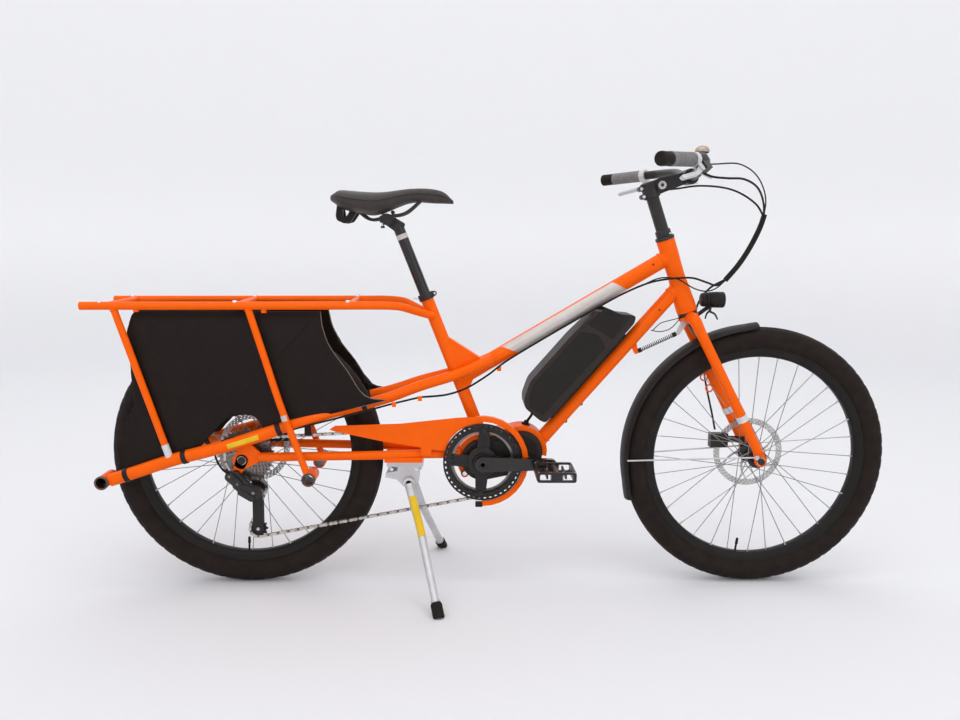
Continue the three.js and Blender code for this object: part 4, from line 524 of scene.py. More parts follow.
for side, word in SIDES:
    form = Form()
    bend, shoulder, end = (330, side * RAIL_HALF, 722), (385, side * 82, 719), (462, side * 15, 691)
    middle = Vector(shoulder).lerp(Vector(end), 0.5)
    curve = smooth_path([(316, side * RAIL_HALF, 721.9), bend, shoulder, middle, end], 7)
    straight = [(x, side * RAIL_HALF, z) for x, z in ((-356, 716), (-100, 718.2), (200, 720.9))]
    form.tube([*straight, *curve], RAIL_RADIUS, 28)
    top_end, strut_top = [Vector((x, side * RAIL_HALF, rail_height(x))) for x in (-281, 31)]
    low_end = Vector((-162, side * 93.5, 334))
    form.rod(top_end, low_end, STRUT_RADIUS, None, 28)
    knee, strut_low = Vector((104, side * 102, 480)), Vector((167, side * 102, 300))
    foot = strut_low + unit(knee - strut_low) * 14
    form.tube(smooth_path([strut_top, strut_top.lerp(knee, 0.5), knee, knee.lerp(foot, 0.5), foot], 8),
              STRUT_RADIUS, 28)
    socket(form, 167, 300, side)
    bead(form, top_end + unit(low_end - top_end) * 10, low_end - top_end, 8.3, 0, 1.6)
    bead(form, strut_top + unit(knee - strut_top) * 10, knee - strut_top, 8.3, 0, 1.6)
    for x in (-227, 70):
        form.rod((x, side * RAIL_HALF, 703), (x, side * RAIL_HALF, 712), 6.5, None, 20)
    form.stand_in(f"rack_rail_{word}", "frame", [orange, satin, ring_grey])
    marks = Form()
    down_strut = unit(low_end - top_end)
    start = top_end.lerp(low_end, 0.872)
    band(marks, start, start + down_strut * 32, STRUT_RADIUS, 0, 0.35)
    down_knee = unit(knee - strut_top)
    start = strut_top.lerp(knee, 1.02)
    band(marks, start + down_knee * 18, start + down_knee * 32, STRUT_RADIUS, 1, 0.4)
    for x in (-310, 3, 267):
        marks.lathe([(0, -2), (6, -2), (6, 1), (4.6, 3.2), (0, 3.6)],
                    (x, side * RAIL_HALF, rail_height(x) + 9.4), (0, 0, 1), 20, 2)
    marks.build(f"rack_marks_{word}", "frame", [pale, decal, bright])
tail = Form()
tail.cross(-300, rail_height(-300), 8, -88, 88)
tail.box((-346, -88, 708), (-304, 88, 716), 1)
tail.stand_in("rack_tail", "frame", [orange, plastic], 38, 1)
for x, word in ((3, "middle"), (267, "front")):
    Form().cross(x, rail_height(x), 8, -88, 88).stand_in(f"rack_cross_{word}", "frame", orange)

# Side panels: one sheet each side, curling in at its top, with a hem
PANEL_SHARES = ((0.072, 1), (0.056, 0.966), (0.048, 0.916), (0.041, 0.866), (0.064, 0.693), (0.07, 0.545),
                (0.062, 0.44), (0.03, 0.356), (0.016, 0.257), (0.006, 0.111), (0.005, 0.006), (0.197, 0.106),
                (0.302, 0.186), (0.318, 0.228), (0.366, 0.314), (0.416, 0.366), (0.463, 0.381),
                (0.501, 0.376), (0.523, 0.347), (0.545, 0.277), (0.616, 0.307), (0.768, 0.378), (1, 0.4725),
                (0.925, 0.5), (0.856, 0.656), (0.795, 0.79), (0.767, 0.896), (0.756, 1))
PANEL_CORNERS = (0, 10, 12, 19, 22, 27)
PANEL_REAR, PANEL_LOW, PANEL_LONG, PANEL_HIGH = -288, 300, 639, 404


def panel_outline():
    """The sheet's edge, curved between its corners."""
    spots = [Vector((PANEL_REAR + a * PANEL_LONG, 0, PANEL_LOW + b * PANEL_HIGH)) for a, b in PANEL_SHARES]
    edge = []
    for start, end in zip(PANEL_CORNERS, PANEL_CORNERS[1:]):
        edge += smooth_path(spots[start:end + 1], 4)[:-1]
    return [*edge, spots[-1]]


def curl(x, z, side):
    """How far the sheet stands in from its flat, by height, with soft waves."""
    up = max(0, (z - 520) / 184)
    wave = 1.1 * sin(x / 55 + z / 90) + 0.7 * sin(z / 38 - x / 120)
    return side * (82.2 - 24 * up ** 2 + wave * 0.6 * min(1, max(0, (700 - z) / 60)))


LEVELS = [((0, 0, PANEL_LOW + 16 * k), (0, 0, 1)) for k in range(1, 26)]
PLACES = [((PANEL_REAR + 31 * k, 0, 0), (1, 0, 0)) for k in range(1, 21)]
for side, word in SIDES:
    edge = panel_outline()
    made = bmesh.new()
    made.faces.new([made.verts.new(p) for p in edge])
    bmesh.ops.triangulate(made, faces=made.faces[:])
    for place, normal in LEVELS + PLACES:
        cut = [*made.verts, *made.edges, *made.faces]
        bmesh.ops.bisect_plane(made, geom=cut, plane_co=place, plane_no=normal)
    for v in made.verts:
        v.co = at(v.co.x, curl(v.co.x, v.co.z, side), v.co.z)
    bmesh.ops.recalc_face_normals(made, faces=made.faces)
    data = as_mesh(made, f"side_panel_{word}")
    sheet = finished(f"side_panel_{word}", "frame", data, vinyl, f"skirt_{word}", 80, 0)
    thick = sheet.modifiers.new("thickness", "SOLIDIFY")
    thick.thickness, thick.offset = 0.0022, 0
    hem = Form()
    line = [Vector((p.x, curl(p.x, p.z, side), p.z)) for p in edge if p.x > 150 and p.z > 470]
    hem.tube(line, 1.3, 8)
    hem.build(f"panel_hem_{word}", "frame", hem_edge)

# Motor, battery, plug
motor = Form()
motor.prism(hull([(CRANK_X, CRANK_Z, 52), (MOTOR_X, MOTOR_Z, 52)], 72), -38, 48)
motor.build("motor_case", "frame", case, "motor", 38, 6, 4)
covers = Form()
cover = [hull([(CRANK_X, CRANK_Z, 44), (MOTOR_X, MOTOR_Z, 40)], 72), circle(CRANK_X, CRANK_Z, 14, 32)]
for y in (48, -40.5):
    covers.prism(cover, y, y + 2.5)
for x, z in ((560, 300), (600, 375), (675, 390), (722, 340), (650, 312)):
    covers.cross(x, z, 3.4, 50.5, 51.6, 20, 1)
covers.build("motor_covers", "frame", [plastic, bright], (), 38, 1.2)
BATTERY_SHARES = ((0.016, 0), (0.954, 0.02), (1, 0.116), (0.84, 0.93), (0.6, 1), (0.166, 1), (0.048, 0.833),
                  (0, 0.67), (0, 0.158))


def along_down(u, w):
    p = DOWN_LOW + DOWN_WAY * u + DOWN_OUT * w
    return p.x, p.z


def rounded(outline, radius=9, steps=4):
    """An outline with its corners rounded."""
    out = []
    for i, p in enumerate(outline):
        p = Vector((*p, 0))
        before, after = Vector((*outline[i - 1], 0)), Vector((*outline[(i + 1) % len(outline)], 0))
        a = p + unit(before - p) * min(radius, (before - p).length * 0.45)
        b = p + unit(after - p) * min(radius, (after - p).length * 0.45)
        for k in range(steps + 1):
            t = k / steps
            q = a * (1 - t) ** 2 + p * 2 * t * (1 - t) + b * t ** 2
            out.append((q.x, q.y))
    return out


battery = Form()
outline = rounded([along_down(49 + a * 351, 28 + b * 99) for a, b in BATTERY_SHARES])
battery.prism(outline, -42, 42)
battery.build("battery_case", "frame", case, "battery", 38, 9, 4)
rim_line = Form()
inset = rounded([along_down(58 + a * 240, 38 + b * 80) for a, b in ((0.02, 0.1), (0.98, 0.06), (1.03, 0.5),
                (0.93, 0.98), (0.2, 0.98), (0.06, 0.8), (0, 0.6))], 7)
cap = rounded([along_down(310 + a * 78, 38 + b * 80) for a, b in ((0.12, 0.06), (0.98, 0.1), (0.7, 0.9),
              (-0.05, 0.98), (0.06, 0.5))], 6)
for y in (-42.7, 41.5):
    rim_line.prism(inset, y, y + 1.2)
    rim_line.prism(cap, y, y + 1.2)
rim_line.prism([along_down(70, 17), along_down(350, 17), along_down(350, 29), along_down(70, 29)], -14, 14)
rim_line.build("battery_covers", "frame", plastic, (), 38, 0.6)
plug = Form()
plug.tube(smooth_path([(716, 0, 446), (713, -2, 438), (706, -3, 428), (701, 0, 418)], 6), 3.4, 16)
plug.lathe([(0, 0), (11, 0), (11, 3), (7, 5), (5.5, 11), (0, 12)], (699, 0, 414), (0.3, 0, 1), 28)
plug.build("motor_plug", "frame", rubber)

# Drive: chain, sprockets and rings
PITCH = 12.7


def pitch_radius(teeth):
    return teeth * PITCH / (2 * pi)


WHEELS = ((0, REAR_Z, pitch_radius(24), 1), (CRANK_X, CRANK_Z, pitch_radius(44), 1),
          (*LOWER_PULLEY, pitch_radius(11), 1), (*UPPER_PULLEY, pitch_radius(11), -1))


def chain_course():
    """The chain's loop as points, each with the wheel it lies on or has just left."""
    leaving, arriving = [0] * 4, [0] * 4
    for i, (x, z, r, s) in enumerate(WHEELS):
        j = (i + 1) % 4
        u, w, q, t = WHEELS[j]
        normal = atan2(w - z, u - x) + pi / 2 - asin((s * r - t * q) / hypot(u - x, w - z))
        leaving[i] = normal if s > 0 else normal + pi
        arriving[j] = normal if t > 0 else normal + pi
    points = []
    for i, (x, z, r, s) in enumerate(WHEELS):
        sweep = (leaving[i] - arriving[i]) % (2 * pi)
        if s > 0:
            sweep -= 2 * pi
        count = max(2, ceil(abs(sweep) / radians(4)))
        for k in range(count + 1):
            u, v = polar(x, z, r, arriving[i] + sweep * k / count)
            points.append((Vector((u, CHAIN_Y, v)), i, k == count))
    return points


def chain_links():
    course = chain_course()
    lengths = [(course[(k + 1) % len(course)][0] - course[k][0]).length for k in range(len(course))]
    total = sum(lengths)
    count = round(total / PITCH / 2) * 2
    spots, done, k = [], 0.0, 0
    for n in range(count):
        goal = total * n / count
        while done + lengths[k] < goal:
            done += lengths[k]
            k += 1
        share = (goal - done) / lengths[k]
        spots.append((course[k][0].lerp(course[(k + 1) % len(course)][0], share), course[k][1], course[k][2]))
    return spots


def add_link(form, a, b, wide):
    plate = 0 if wide else 1
    way = unit(b - a)
    up = Vector((-way.z, 0, way.x))
    offset, thick = 2.9 if wide else 1.9, 0.9
    turns = [radians(-75 + 30 * k) for k in range(6)]
    outline = [(-4.1 * cos(t), 4.1 * sin(t)) for t in turns][::-1]
    reach = (b - a).length
    outline += [(reach + 4.1 * cos(t), 4.1 * sin(t)) for t in turns]
    outline.insert(6, (reach / 2, -2.7))
    outline.append((reach / 2, 2.7))
    for y in (-offset - thick, offset):
        form.prism(outline, y, y + thick, plate,
                   lambda u, v, w: a + way * u + up * v + Vector((0, w, 0)))
    form.cross(a.x, a.z, 3.8, -48.9, -45.1, 10)
    form.cross(a.x, a.z, 1.7, -51.1, -42.9, 8)


links = chain_links()
runs = {"chain_upper": Form(), "chain_lower": Form(), "chain_in_cage": Form()}
for n, (spot, wheel, last) in enumerate(links):
    following = links[(n + 1) % len(links)][0]
    name = "chain_upper"
    if wheel == 1 and last:
        name = "chain_lower"
    if wheel == 2 or (wheel == 3 and not last):
        name = "chain_in_cage"
    add_link(runs[name], spot, following, n % 2)
runs["chain_upper"].build("chain_upper", "frame", [chain_steel, chain_dark], "chain")
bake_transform(runs["chain_lower"].build("chain_lower", "", [chain_steel, chain_dark]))
runs["chain_in_cage"].build("chain_in_cage", "derailleur_cage", [chain_steel, chain_dark])


def toothed(x, z, teeth, root=3.6, tip=3.0):
    r, flank = pitch_radius(teeth), -root * 0.4
    tooth = ((-0.36, -root), (-0.2, flank), (-0.09, tip), (0.09, tip), (0.2, flank), (0.36, -root))
    return [polar(x, z, r + rise, 2 * pi * (k + shift) / teeth)
            for k in range(teeth) for shift, rise in tooth]


cogs = Form()
for k, teeth in enumerate((34, 30, 27, 24, 21, 18, 16, 13, 11)):
    y = -34.1 - 4.3 * k
    inner = pitch_radius(teeth) * 0.62 if teeth > 20 else 17.7
    loops = [toothed(0, REAR_Z, teeth), circle(0, REAR_Z, inner, 32)]
    if teeth > 20:
        mid = (pitch_radius(teeth) - 5 + inner) / 2
        loops += [circle(*polar(0, REAR_Z, mid, a), 3.2, 10) for a in
                  (2 * pi * (j + 0.5 * (k % 2)) / 14 for j in range(14))]
    cogs.prism(loops, y - 0.9, y + 0.9)
cogs.lathe([(17.7, -62), (21, -62), (21, -58), (28, -46), (28, -34), (17.7, -34)],
           (0, 0, REAR_Z), (0, 1, 0), 40, 1, True)
for k in range(5):
    web = [polar(0, REAR_Z, r, 2 * pi * k / 5 + t) for r, t in ((28, -0.2), (28, 0.2), (44, 0.25), (44, 0.1))]
    cogs.prism(web, -40, -34, 1)
cogs.build("cassette_sprockets", "cassette", [cog_steel, satin], "cassette", 30)

ringset = Form()
ringset.prism([toothed(CRANK_X, CRANK_Z, 44, 4.2, 2.4), circle(CRANK_X, CRANK_Z, 72, 64)], -48.4, -45.6, 1)
slots = [hull([(*polar(CRANK_X, CRANK_Z, 92, a + t), 1.8) for t in (-0.018, 0.018)], 8)
         for a in (2 * pi * k / 42 for k in range(42))]
ringset.prism([circle(CRANK_X, CRANK_Z, 98, 96), circle(CRANK_X, CRANK_Z, 79, 64), *slots], -60, -57)
for k in range(4):
    tip = polar(CRANK_X, CRANK_Z, 79, radians(87 + 90 * k))
    ringset.prism(hull([(CRANK_X, CRANK_Z, 18), (*tip, 13)], 32), -57, -48.4)
    ringset.cross(*tip, 5, -61, -45, 20, 2)
ringset.lathe([(11.9, -66.4), (24, -66.4), (25, -64), (26, -60), (37, -58.4), (38, -56), (38, -50), (25, -48),
               (25, -44), (11.9, -44)], (CRANK_X, 0, CRANK_Z), (0, 1, 0), 48, 0, True)
for k in range(96):
    a, b = 2 * pi * k / 96, 2 * pi * (k + 0.5) / 96
    rib = [polar(CRANK_X, CRANK_Z, r, t) for r, t in ((97, a), (98.2, a), (98.2, b), (97, b))]
    ringset.prism(rib, -59.4, -57.6)
ringset.build("chainring_set", "crank", [black, cog_steel, satin], "chainring", 30, 0.4)

for side, word in SIDES:
    tip_x = CRANK_X - side * CRANK_LENGTH
    low, high = span(side, 66.7, 82)
    arm = Form()
    arm.prism(hull([(CRANK_X, CRANK_Z, 19), (tip_x, CRANK_Z, 13)], 48), low, high)
    if side < 0:
        arm.cross(CRANK_X, CRANK_Z, 11.5, -72, 66.4)
    arm.build(f"crank_arm_{word}", "crank", gloss, f"crank_{word}", 38, 4, 4)
    caps = Form()
    y = side * 82
    caps.lathe([(0, 0), (10, 0), (9, 1.2), (5, 1.6), (4.6, -1), (0, -1)],
               (CRANK_X, y, CRANK_Z), (0, side, 0), 28)
    caps.lathe([(0, 0), (7, 0), (6, 1.1), (0, 1.4)], (tip_x, y - side * 0.3, CRANK_Z), (0, side, 0), 24, 1)
    caps.build(f"crank_caps_{word}", "crank", [satin, steel])
    body = f"pedal_{word}"
    low, high = span(side, 97, 189)
    form = Form()
    plate = rounded([(tip_x + u, v) for u, v in ((-46, 321), (-40, 319), (40, 319), (46, 321), (46, 341),
                                                 (40, 343), (-40, 343), (-46, 341))], 3)
    windows = [rounded([(tip_x + u, v) for u, v in ((a, 323.5), (b, 323.5), (b, 338.5), (a, 338.5))], 4)
               for a, b in ((-40, -13), (13, 40))]
    for y in (low, high - 8):
        form.prism([plate, *windows], y, y + 8)
    for x0, x1 in ((tip_x - 46, tip_x - 39), (tip_x + 39, tip_x + 46)):
        form.box((x0, low + 6, 321), (x1, high - 6, 341))
    for x in (tip_x - 22, tip_x + 22):
        form.box((x - 2, low + 6, 326), (x + 2, high - 6, 336))
    form.cross(tip_x, CRANK_Z, 9.5, low + 2, high - 2)
    form.cross(tip_x, CRANK_Z, 6.5, *span(side, 82.5, 100), 24, 1)
    for x in (-42.5, -14, 14, 42.5):
        for y in (low + 4, high - 4):
            form.rod((tip_x + x, y, 317.8), (tip_x + x, y, 344.2), 1.6, None, 10, 1)
    form.build(f"pedal_{word}_platform", body, [satin, steel], body, 38, 1.2)

dressed("chain_guard", "frame", orange, 0.9, 45)
clip = Form()
clip.box((572, -56, 214), (590, -42, 226))
clip.box((150, -56, 396), (166, -48, 420))
clip.build("guard_clips", "frame", plastic, (), 38, 1.5)
dressed("derailleur_body", "frame", satin, 2)
dressed("derailleur_cage", "derailleur_cage", black, 0.4)
rear_mech = Form()
rear_mech.prism(hull([(-27, 301, 11), (-8, 284, 11)]), -93, -76)
rear_mech.prism(hull([(-12, 279, 9), (12, 262, 12), (38, 258, 13)]), -90, -72)
rear_mech.prism(hull([(-2, 262, 7), (24, 247, 8)]), -92, -84)
rear_mech.rod((-38, -80, 318), (-32, -80, 304), 4, 5.5)
for x, z, r in ((-27, 303, 3.5), (-8, 284, 3), (*UPPER_PULLEY, 4)):
    rear_mech.cross(x, z, r, -94.5, -90, 24, 2)
for x, z, r in ((-18, 330, 4.5), (*UPPER_PULLEY, 4), (*LOWER_PULLEY, 4)):
    rear_mech.cross(x, z, r, -55.5, -53.5, 20, 1)
rear_mech.build("derailleur_covers", "frame", [satin, steel, cog_steel], (), 38, 1.2)
for x, z, word in ((*UPPER_PULLEY, "upper"), (*LOWER_PULLEY, "lower")):
    form = Form()
    form.prism([toothed(x, z, 11, 3.4, 1.2), circle(x, z, 4.9, 24)], -49.3, -44.7)
    form.build(f"pulley_{word}_wheel", f"pulley_{word}", plastic, f"pulley_{word}", 30)


# Wheels
def tyre_form(x, z, section, half):
    """A tyre whose tread is cut in three rows of blocks."""
    crown = RIM_SEAT + section
    centre, high = crown - half - 1.5, half + 1.5
    profile = [(279.9, 14), (281, 17.5), (284.5, 20.5)]
    angles = [118, 106, 96, 86, 76, 66, 57, 49, 43, 41, 33, 25, 19, 17, 9, 2]
    profile += [(centre + high * cos(radians(a)), half * sin(radians(a))) for a in angles]
    side_count = len(profile)
    profile += [(r, -y) for r, y in profile[::-1]]
    steps = 300
    rings = []
    for k in range(steps):
        a = 2 * pi * k / steps
        ring = []
        for i, (r, y) in enumerate(profile):
            j = i if i < side_count else 2 * side_count - 1 - i
            lean = angles[j - 3] if j >= 3 else 180
            sign = 1 if i < side_count else 0
            cut = 0.0
            if 27 < lean < 58:
                cut = 1.4 if (k + sign * 2) % 5 == 0 else 0
            elif 17 < lean <= 27 or lean in (43, 41, 19, 17):
                cut = 1.3
            elif lean < 17:
                cut = 1.0 if (k + sign * 2 + 1) % 5 == 0 else 0
            if lean in (96, 76):
                cut = -0.5
            ring.append((x + (r - cut) * cos(a), y, z + (r - cut) * sin(a)))
        rings.append(ring)
    return Form().rings(rings, 0, False, True)


def perforated(form, x, z, y, inner, outer, cells, rows):
    """A ring with staggered holes, made of cells with some left out."""
    for k in range(cells):
        for row in range(rows):
            if row % 2 and (k + row // 2) % 3 == 0:
                continue
            r0 = inner + (outer - inner) * row / rows
            r1 = inner + (outer - inner) * (row + 1) / rows
            a, b = 2 * pi * k / cells, 2 * pi * (k + 1) / cells
            quad = [polar(x, z, r, t) for r, t in ((r0, a), (r1, a), (r1, b), (r0, b))]
            form.put([(u, w, v) for w in (y - DISC_THICK / 2, y + DISC_THICK / 2) for u, v in quad],
                     [[0, 1, 2, 3], [7, 6, 5, 4], [0, 4, 5, 1], [1, 5, 6, 2], [2, 6, 7, 3], [3, 7, 4, 0]])


def wheel(word, x, z, section, half, hub_half, flange_half, flange_r, body_r, axle_r, nut_r, drop,
          left_y, right_y, disc_y, valve_angle):
    body = f"{word}_wheel"
    tyre_form(x, z, section, half).stand_in(f"{word}_tyre", body, tread, 50)
    rim = Form()
    wall = [(258.5, -8), (260, -10.5), (268, -15.4), (280.5, -16.4), (281.5, -15.6), (279, -13.5), (276, -13)]
    rim.lathe(wall + [(r, -y) for r, y in wall[::-1]], (x, 0, z), (0, 1, 0), 120, 0, True)
    for side in (1, -1):
        for k in range(16):
            lean = -1 if k % 2 else 1
            a = radians(22.5 * (k + (0.5 if side > 0 else 0)))
            b = a + lean * radians(67.5)
            lane = lean * 1.5
            (sx, sz), (ex, ez) = polar(x, z, flange_r + 1.3, a), polar(x, z, 260.5, b)
            start, end = Vector((sx, side * (flange_half + lane), sz)), Vector((ex, side * (4 + lane), ez))
            rim.rod(start, end, 1.05, None, 6, 1)
            rim.rod(end.lerp(start, 0.055), end, 1.9, 2.3, 8, 2)
    rim.stand_in(f"{word}_rim", body, [rim_black, spoke_steel, steel])
    va = radians(valve_angle)
    way = Vector((cos(va), 0, sin(va)))
    valve = Form()
    for near, far, r0, r1 in ((259, 238, 2.6, 2.6), (240, 224, 3.8, 3.2)):
        valve.rod(Vector((x, 0, z)) + way * near, Vector((x, 0, z)) + way * far, r0, r1, 14)
    valve.build(f"{word}_valve", body, rubber)
    edge, shoulder = flange_half + 1.7, hub_half + drop + 0.6

    def half_hub(end):
        return [(body_r * 0.82, 0), (body_r * 0.86, flange_half - 14), (body_r, flange_half - 7),
                (flange_r, flange_half - 1.7), (flange_r + 0.4, flange_half), (flange_r, edge),
                (body_r, edge + 1), (body_r, end), (nut_r, end), (nut_r, hub_half), (axle_r, hub_half),
                (axle_r, shoulder), (nut_r, shoulder), (nut_r * 0.96, shoulder + 6),
                (nut_r * 0.7, shoulder + 8.5), (0, shoulder + 8.5)]

    hub = Form()
    profile = [(r, -h) for r, h in half_hub(right_y)[::-1]] + half_hub(left_y)[1:]
    hub.lathe(profile, (x, 0, z), (0, 1, 0), 48)
    for side in (1, -1):
        hub.lathe([(axle_r + 0.4, 0), (nut_r + 1.5, 0), (nut_r + 1.5, 1.2), (axle_r + 0.4, 1.2)],
                  (x, side * (shoulder - 0.2), z), (0, side, 0), 28, 1, True)
    hub.stand_in(f"{word}_hub", body, [satin, steel], 35)
    disc = Form()
    perforated(disc, x, z, disc_y, 75, 90, 150, 7)
    for k in range(6):
        a = 2 * pi * k / 6
        path = [polar(x, z, r, a + t) for r, t in ((20, 0.0), (36, 0.1), (54, 0.3), (68, 0.47), (76, 0.55))]
        one, two = [[polar(u, v, wide, a + pi / 2) for u, v in path] for wide in (3.4, -3.4)]
        disc.prism(one + two[::-1], disc_y - DISC_THICK / 2, disc_y + DISC_THICK / 2)
        disc.cross(*polar(x, z, 21, a + 0.5), 2.8, disc_y - 2.4, disc_y + 2.4, 16, 1)
    disc.prism([circle(x, z, 26, 48), circle(x, z, body_r + 0.6, 36)], disc_y - 1.3, disc_y + 1.3, 1)
    disc.stand_in(f"{word}_rotor", body, [disc_steel, satin], 30)


FRONT_SECTION = 54.5
wheel("front", FRONT_X, FRONT_Z, FRONT_SECTION, half=27.5, hub_half=50, flange_half=30, flange_r=24,
      body_r=15, axle_r=4.8, nut_r=9, drop=6, left_y=40, right_y=48, disc_y=39, valve_angle=263)
wheel("rear", 0, REAR_Z, section=59, half=30, hub_half=67.5, flange_half=29, flange_r=30, body_r=17,
      axle_r=5, nut_r=9.5, drop=7, left_y=55.5, right_y=62, disc_y=54.5, valve_angle=268)

# Fork
CROWN = on_head(-17)
BLADE_X, BLADE_HALF, BLADE_Z = 1280, 56, 358
fork = Form()
for side, _ in SIDES:
    low_end = Vector((BLADE_X, side * BLADE_HALF, BLADE_Z))
    shoulder = Vector((CROWN.x, side * 50, CROWN.z))
    blade_way = unit(low_end - shoulder)
    path = [CROWN + Vector((0, side * 2, 3)), CROWN + Vector((1, side * 28, 1)), shoulder + blade_way * 6,
            shoulder + blade_way * 40]
    fork.tube([*smooth_path(path, 6), shoulder.lerp(low_end, 0.4), shoulder.lerp(low_end, 0.8), low_end],
              lambda t: 14.6 - 2.6 * max(0, (t - 0.6) / 0.4), 32)
    low, high = span(side, 50.3, 56.3)
    plate = hull([(FRONT_X, FRONT_Z, 15), (BLADE_X, BLADE_Z, 12)], 40)
    fork.prism([plate, circle(FRONT_X, FRONT_Z, 5.6, 20)], low, high)
    start = shoulder.lerp(low_end, 0.72)
    band(fork, start, start + blade_way * 16, 13.2, 1, 0.6)
    fork.cross(FRONT_X, FRONT_Z, 8, *span(side, 56.3, 58), 24, 2)
fork.cross(CROWN.x, CROWN.z, 15.2, -30, 30, 36)
fork.rod(CROWN, on_head(204), 14.3, None, 36, 3)
fork.lathe([(14, -8), (25, -8), (25.5, -5), (25.5, -0.4), (14, -0.4)], on_head(-9.6), UP, 48, 0)
fork.prism(hull([(1078, 651, 5), (1096, 684, 8)]), -3, 3, 2)
fork.stand_in("fork", "steering", [orange, pale, silver, satin], 38)
guides = Form()
blade_top, blade_low = Vector((CROWN.x, 50, CROWN.z)), Vector((BLADE_X, BLADE_HALF, BLADE_Z))
for d in (0.47, 0.56):
    bead(guides, blade_top.lerp(blade_low, d) + Vector((-20, 0, -4)), (0, 1, 0), 9, 0, 2)
guides.build("hose_guides", "steering", orange)
dressed("front_brake_caliper", "steering", satin, 2.5, name="front_caliper_dressed")
dressed("rear_brake_caliper", "frame", satin, 2.5, name="rear_caliper_dressed")

# Mudguard with a rounded section, its bracket and stays
guard = Form()
OUTER = RIM_SEAT + FRONT_SECTION + 9
rings = []
for k in range(61):
    share = k / 60
    a = radians(92 + 107 * share)
    flare = 5 * max(0, share - 0.93) / 0.07 + 3 * max(0, 0.05 - share) / 0.05
    narrow = 1 - 0.22 * max(0, 0.1 - share) / 0.1
    ring = []
    for inner in (0, 1):
        spread = [radians(-82 + 164 * j / 12) for j in range(13)]
        for t in spread if not inner else spread[::-1]:
            u, v = polar(FRONT_X, FRONT_Z, OUTER - 14 * (1 - cos(t)) + flare - inner * 2.2, a)
            ring.append((u, (33 - inner * 2) * narrow * sin(t), v))
    rings.append(ring)
guard.rings(rings)
u, v = polar(FRONT_X, FRONT_Z, 340, radians(117))
guard.prism([(u - 5, v), (u + 5, v), (CROWN.x + 5, CROWN.z - 14), (CROWN.x - 5, CROWN.z - 14)], -10, 10)
u, v = polar(FRONT_X, FRONT_Z, 332, radians(181))
for side, _ in SIDES:
    low, high = span(side, 56.9, 61)
    guard.cross(1276, 345, 6, low, high, 24, 1)
    guard.rod((1276, (low + high) / 2, 345), (u, side * 32, v), 2.1, None, 12, 1)
guard.build("front_mudguard", "steering", [plastic, silver], "front_fender", 50)

# Headlight: finned case, reflector, lens and prongs
light = Form()
light.lathe([(0, 0), (13, 0), (15.5, 1.5), (17, 5), (17.8, 9), (16.2, 10), (16.2, 12), (18.4, 13), (18.6, 17),
             (16.8, 18), (16.8, 20), (19, 21), (19.2, 25), (18, 26), (19.6, 28), (20, 40), (20, 56),
             (18.8, 58), (18, 57), (17.8, 51), (6, 43), (0, 42)], (1131, 0, 735), (1, 0, 0))
light.lathe([(0, 0), (17.6, 0), (17.6, 2), (10, 4.2), (0, 5)], (1184, 0, 735), (1, 0, 0), 40, 1)
light.lathe([(0, 0), (5, 0.2), (17, 8.5), (16.6, 8.8), (0, 1)], (1173.5, 0, 735), (1, 0, 0), 40, 2)
for side in (1, -1):
    prong = [(1158, side * 6, 722), (1156 + side * 3, side * 8, 708), (1159 - side * 7, side * 9, 700),
             (1161 - side * 13, side * 9, 686)]
    light.tube(smooth_path(prong, 5), lambda t: 3.6 - 1.8 * t, 12, 3)
light.rod((1116, 0, 690), (1152, 0, 717), 5, None, 20, 0)
light.cross(1152, 717, 5.5, -9, 9, 24)
light.stand_in("headlight", "steering", [plastic, glass, bright, satin], 35)

# Damper spring between the down tube and the fork
START, END = Vector((974, 0, 602)), Vector((1078, 0, 651))
way = unit(END - START)
rise = Vector((-way.z, 0, way.x))
reach = (END - START).length
spring = Form()
coil = [START + way * (14 + (reach - 28) * k / 288) + rise * (4.6 * cos(2 * pi * k / 16))
        + Vector((0, 4.6 * sin(2 * pi * k / 16), 0)) for k in range(289)]
spring.tube(coil, 1.05, 8, 0)
spring.rod(START + way * 5.4, START + way * 15, 5.8, None, 20, 1)
spring.rod(END - way * 15, END - way * 5.4, 5.8, None, 20, 1)
made = spring.stand_in("damper_spring", "", [spring_steel, plastic])
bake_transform(made)

# Stem: riser with its clamp, arm, pivot and bar clamp
stem = Form()
BASE = on_head(195.8)
stem.lathe([(14.6, 0), (19, 0), (19, 14), (17, 16), (15.6, 17), (15.6, 97), (20, 98), (20, 136), (17, 138),
            (0, 138)], BASE, UP, 40)
mid = BASE + UP * 118
stem.prism(hull([(mid.x, mid.z, 18), (HINGE_X, HINGE_Z, 18)]), -14, 14)
stem.prism(hull([(HINGE_X, HINGE_Z, 18), (BAR_X, BAR_Z, 13)]), -12, 12)
stem.cross(HINGE_X, HINGE_Z, 14, -17, 17, 40)
stem.lathe([(13, 0), (19, 0), (19, 44), (13, 44)], (BAR_X, -22, BAR_Z), (0, 1, 0), 40, 0, True)
for d in (107, 127):
    spot = BASE + UP * d + Vector((-21, 0, -7))
    stem.cross(spot.x, spot.z, 6.5, -13, 13, 28)
    stem.cross(spot.x, spot.z, 4, -14, 14, 24, 1)
stem.cross(HINGE_X, HINGE_Z, 10, -18, 18, 32, 1)
stem.cross(HINGE_X, HINGE_Z, 4.5, -18.6, 18.6, 6, 0)
for y, z in ((15, 1020), (-15, 1020), (15, 1048), (-15, 1048)):
    stem.rod((BAR_X, y, z), (1106, y, z), 3.2, None, 16, 1)
spot = BASE + UP * 8
stem.cross(spot.x + 12, spot.z, 2.2, -19.6, 19.6, 16, 1)
stem.stand_in("stem", "steering", [satin, bright], 38, 2, 3)


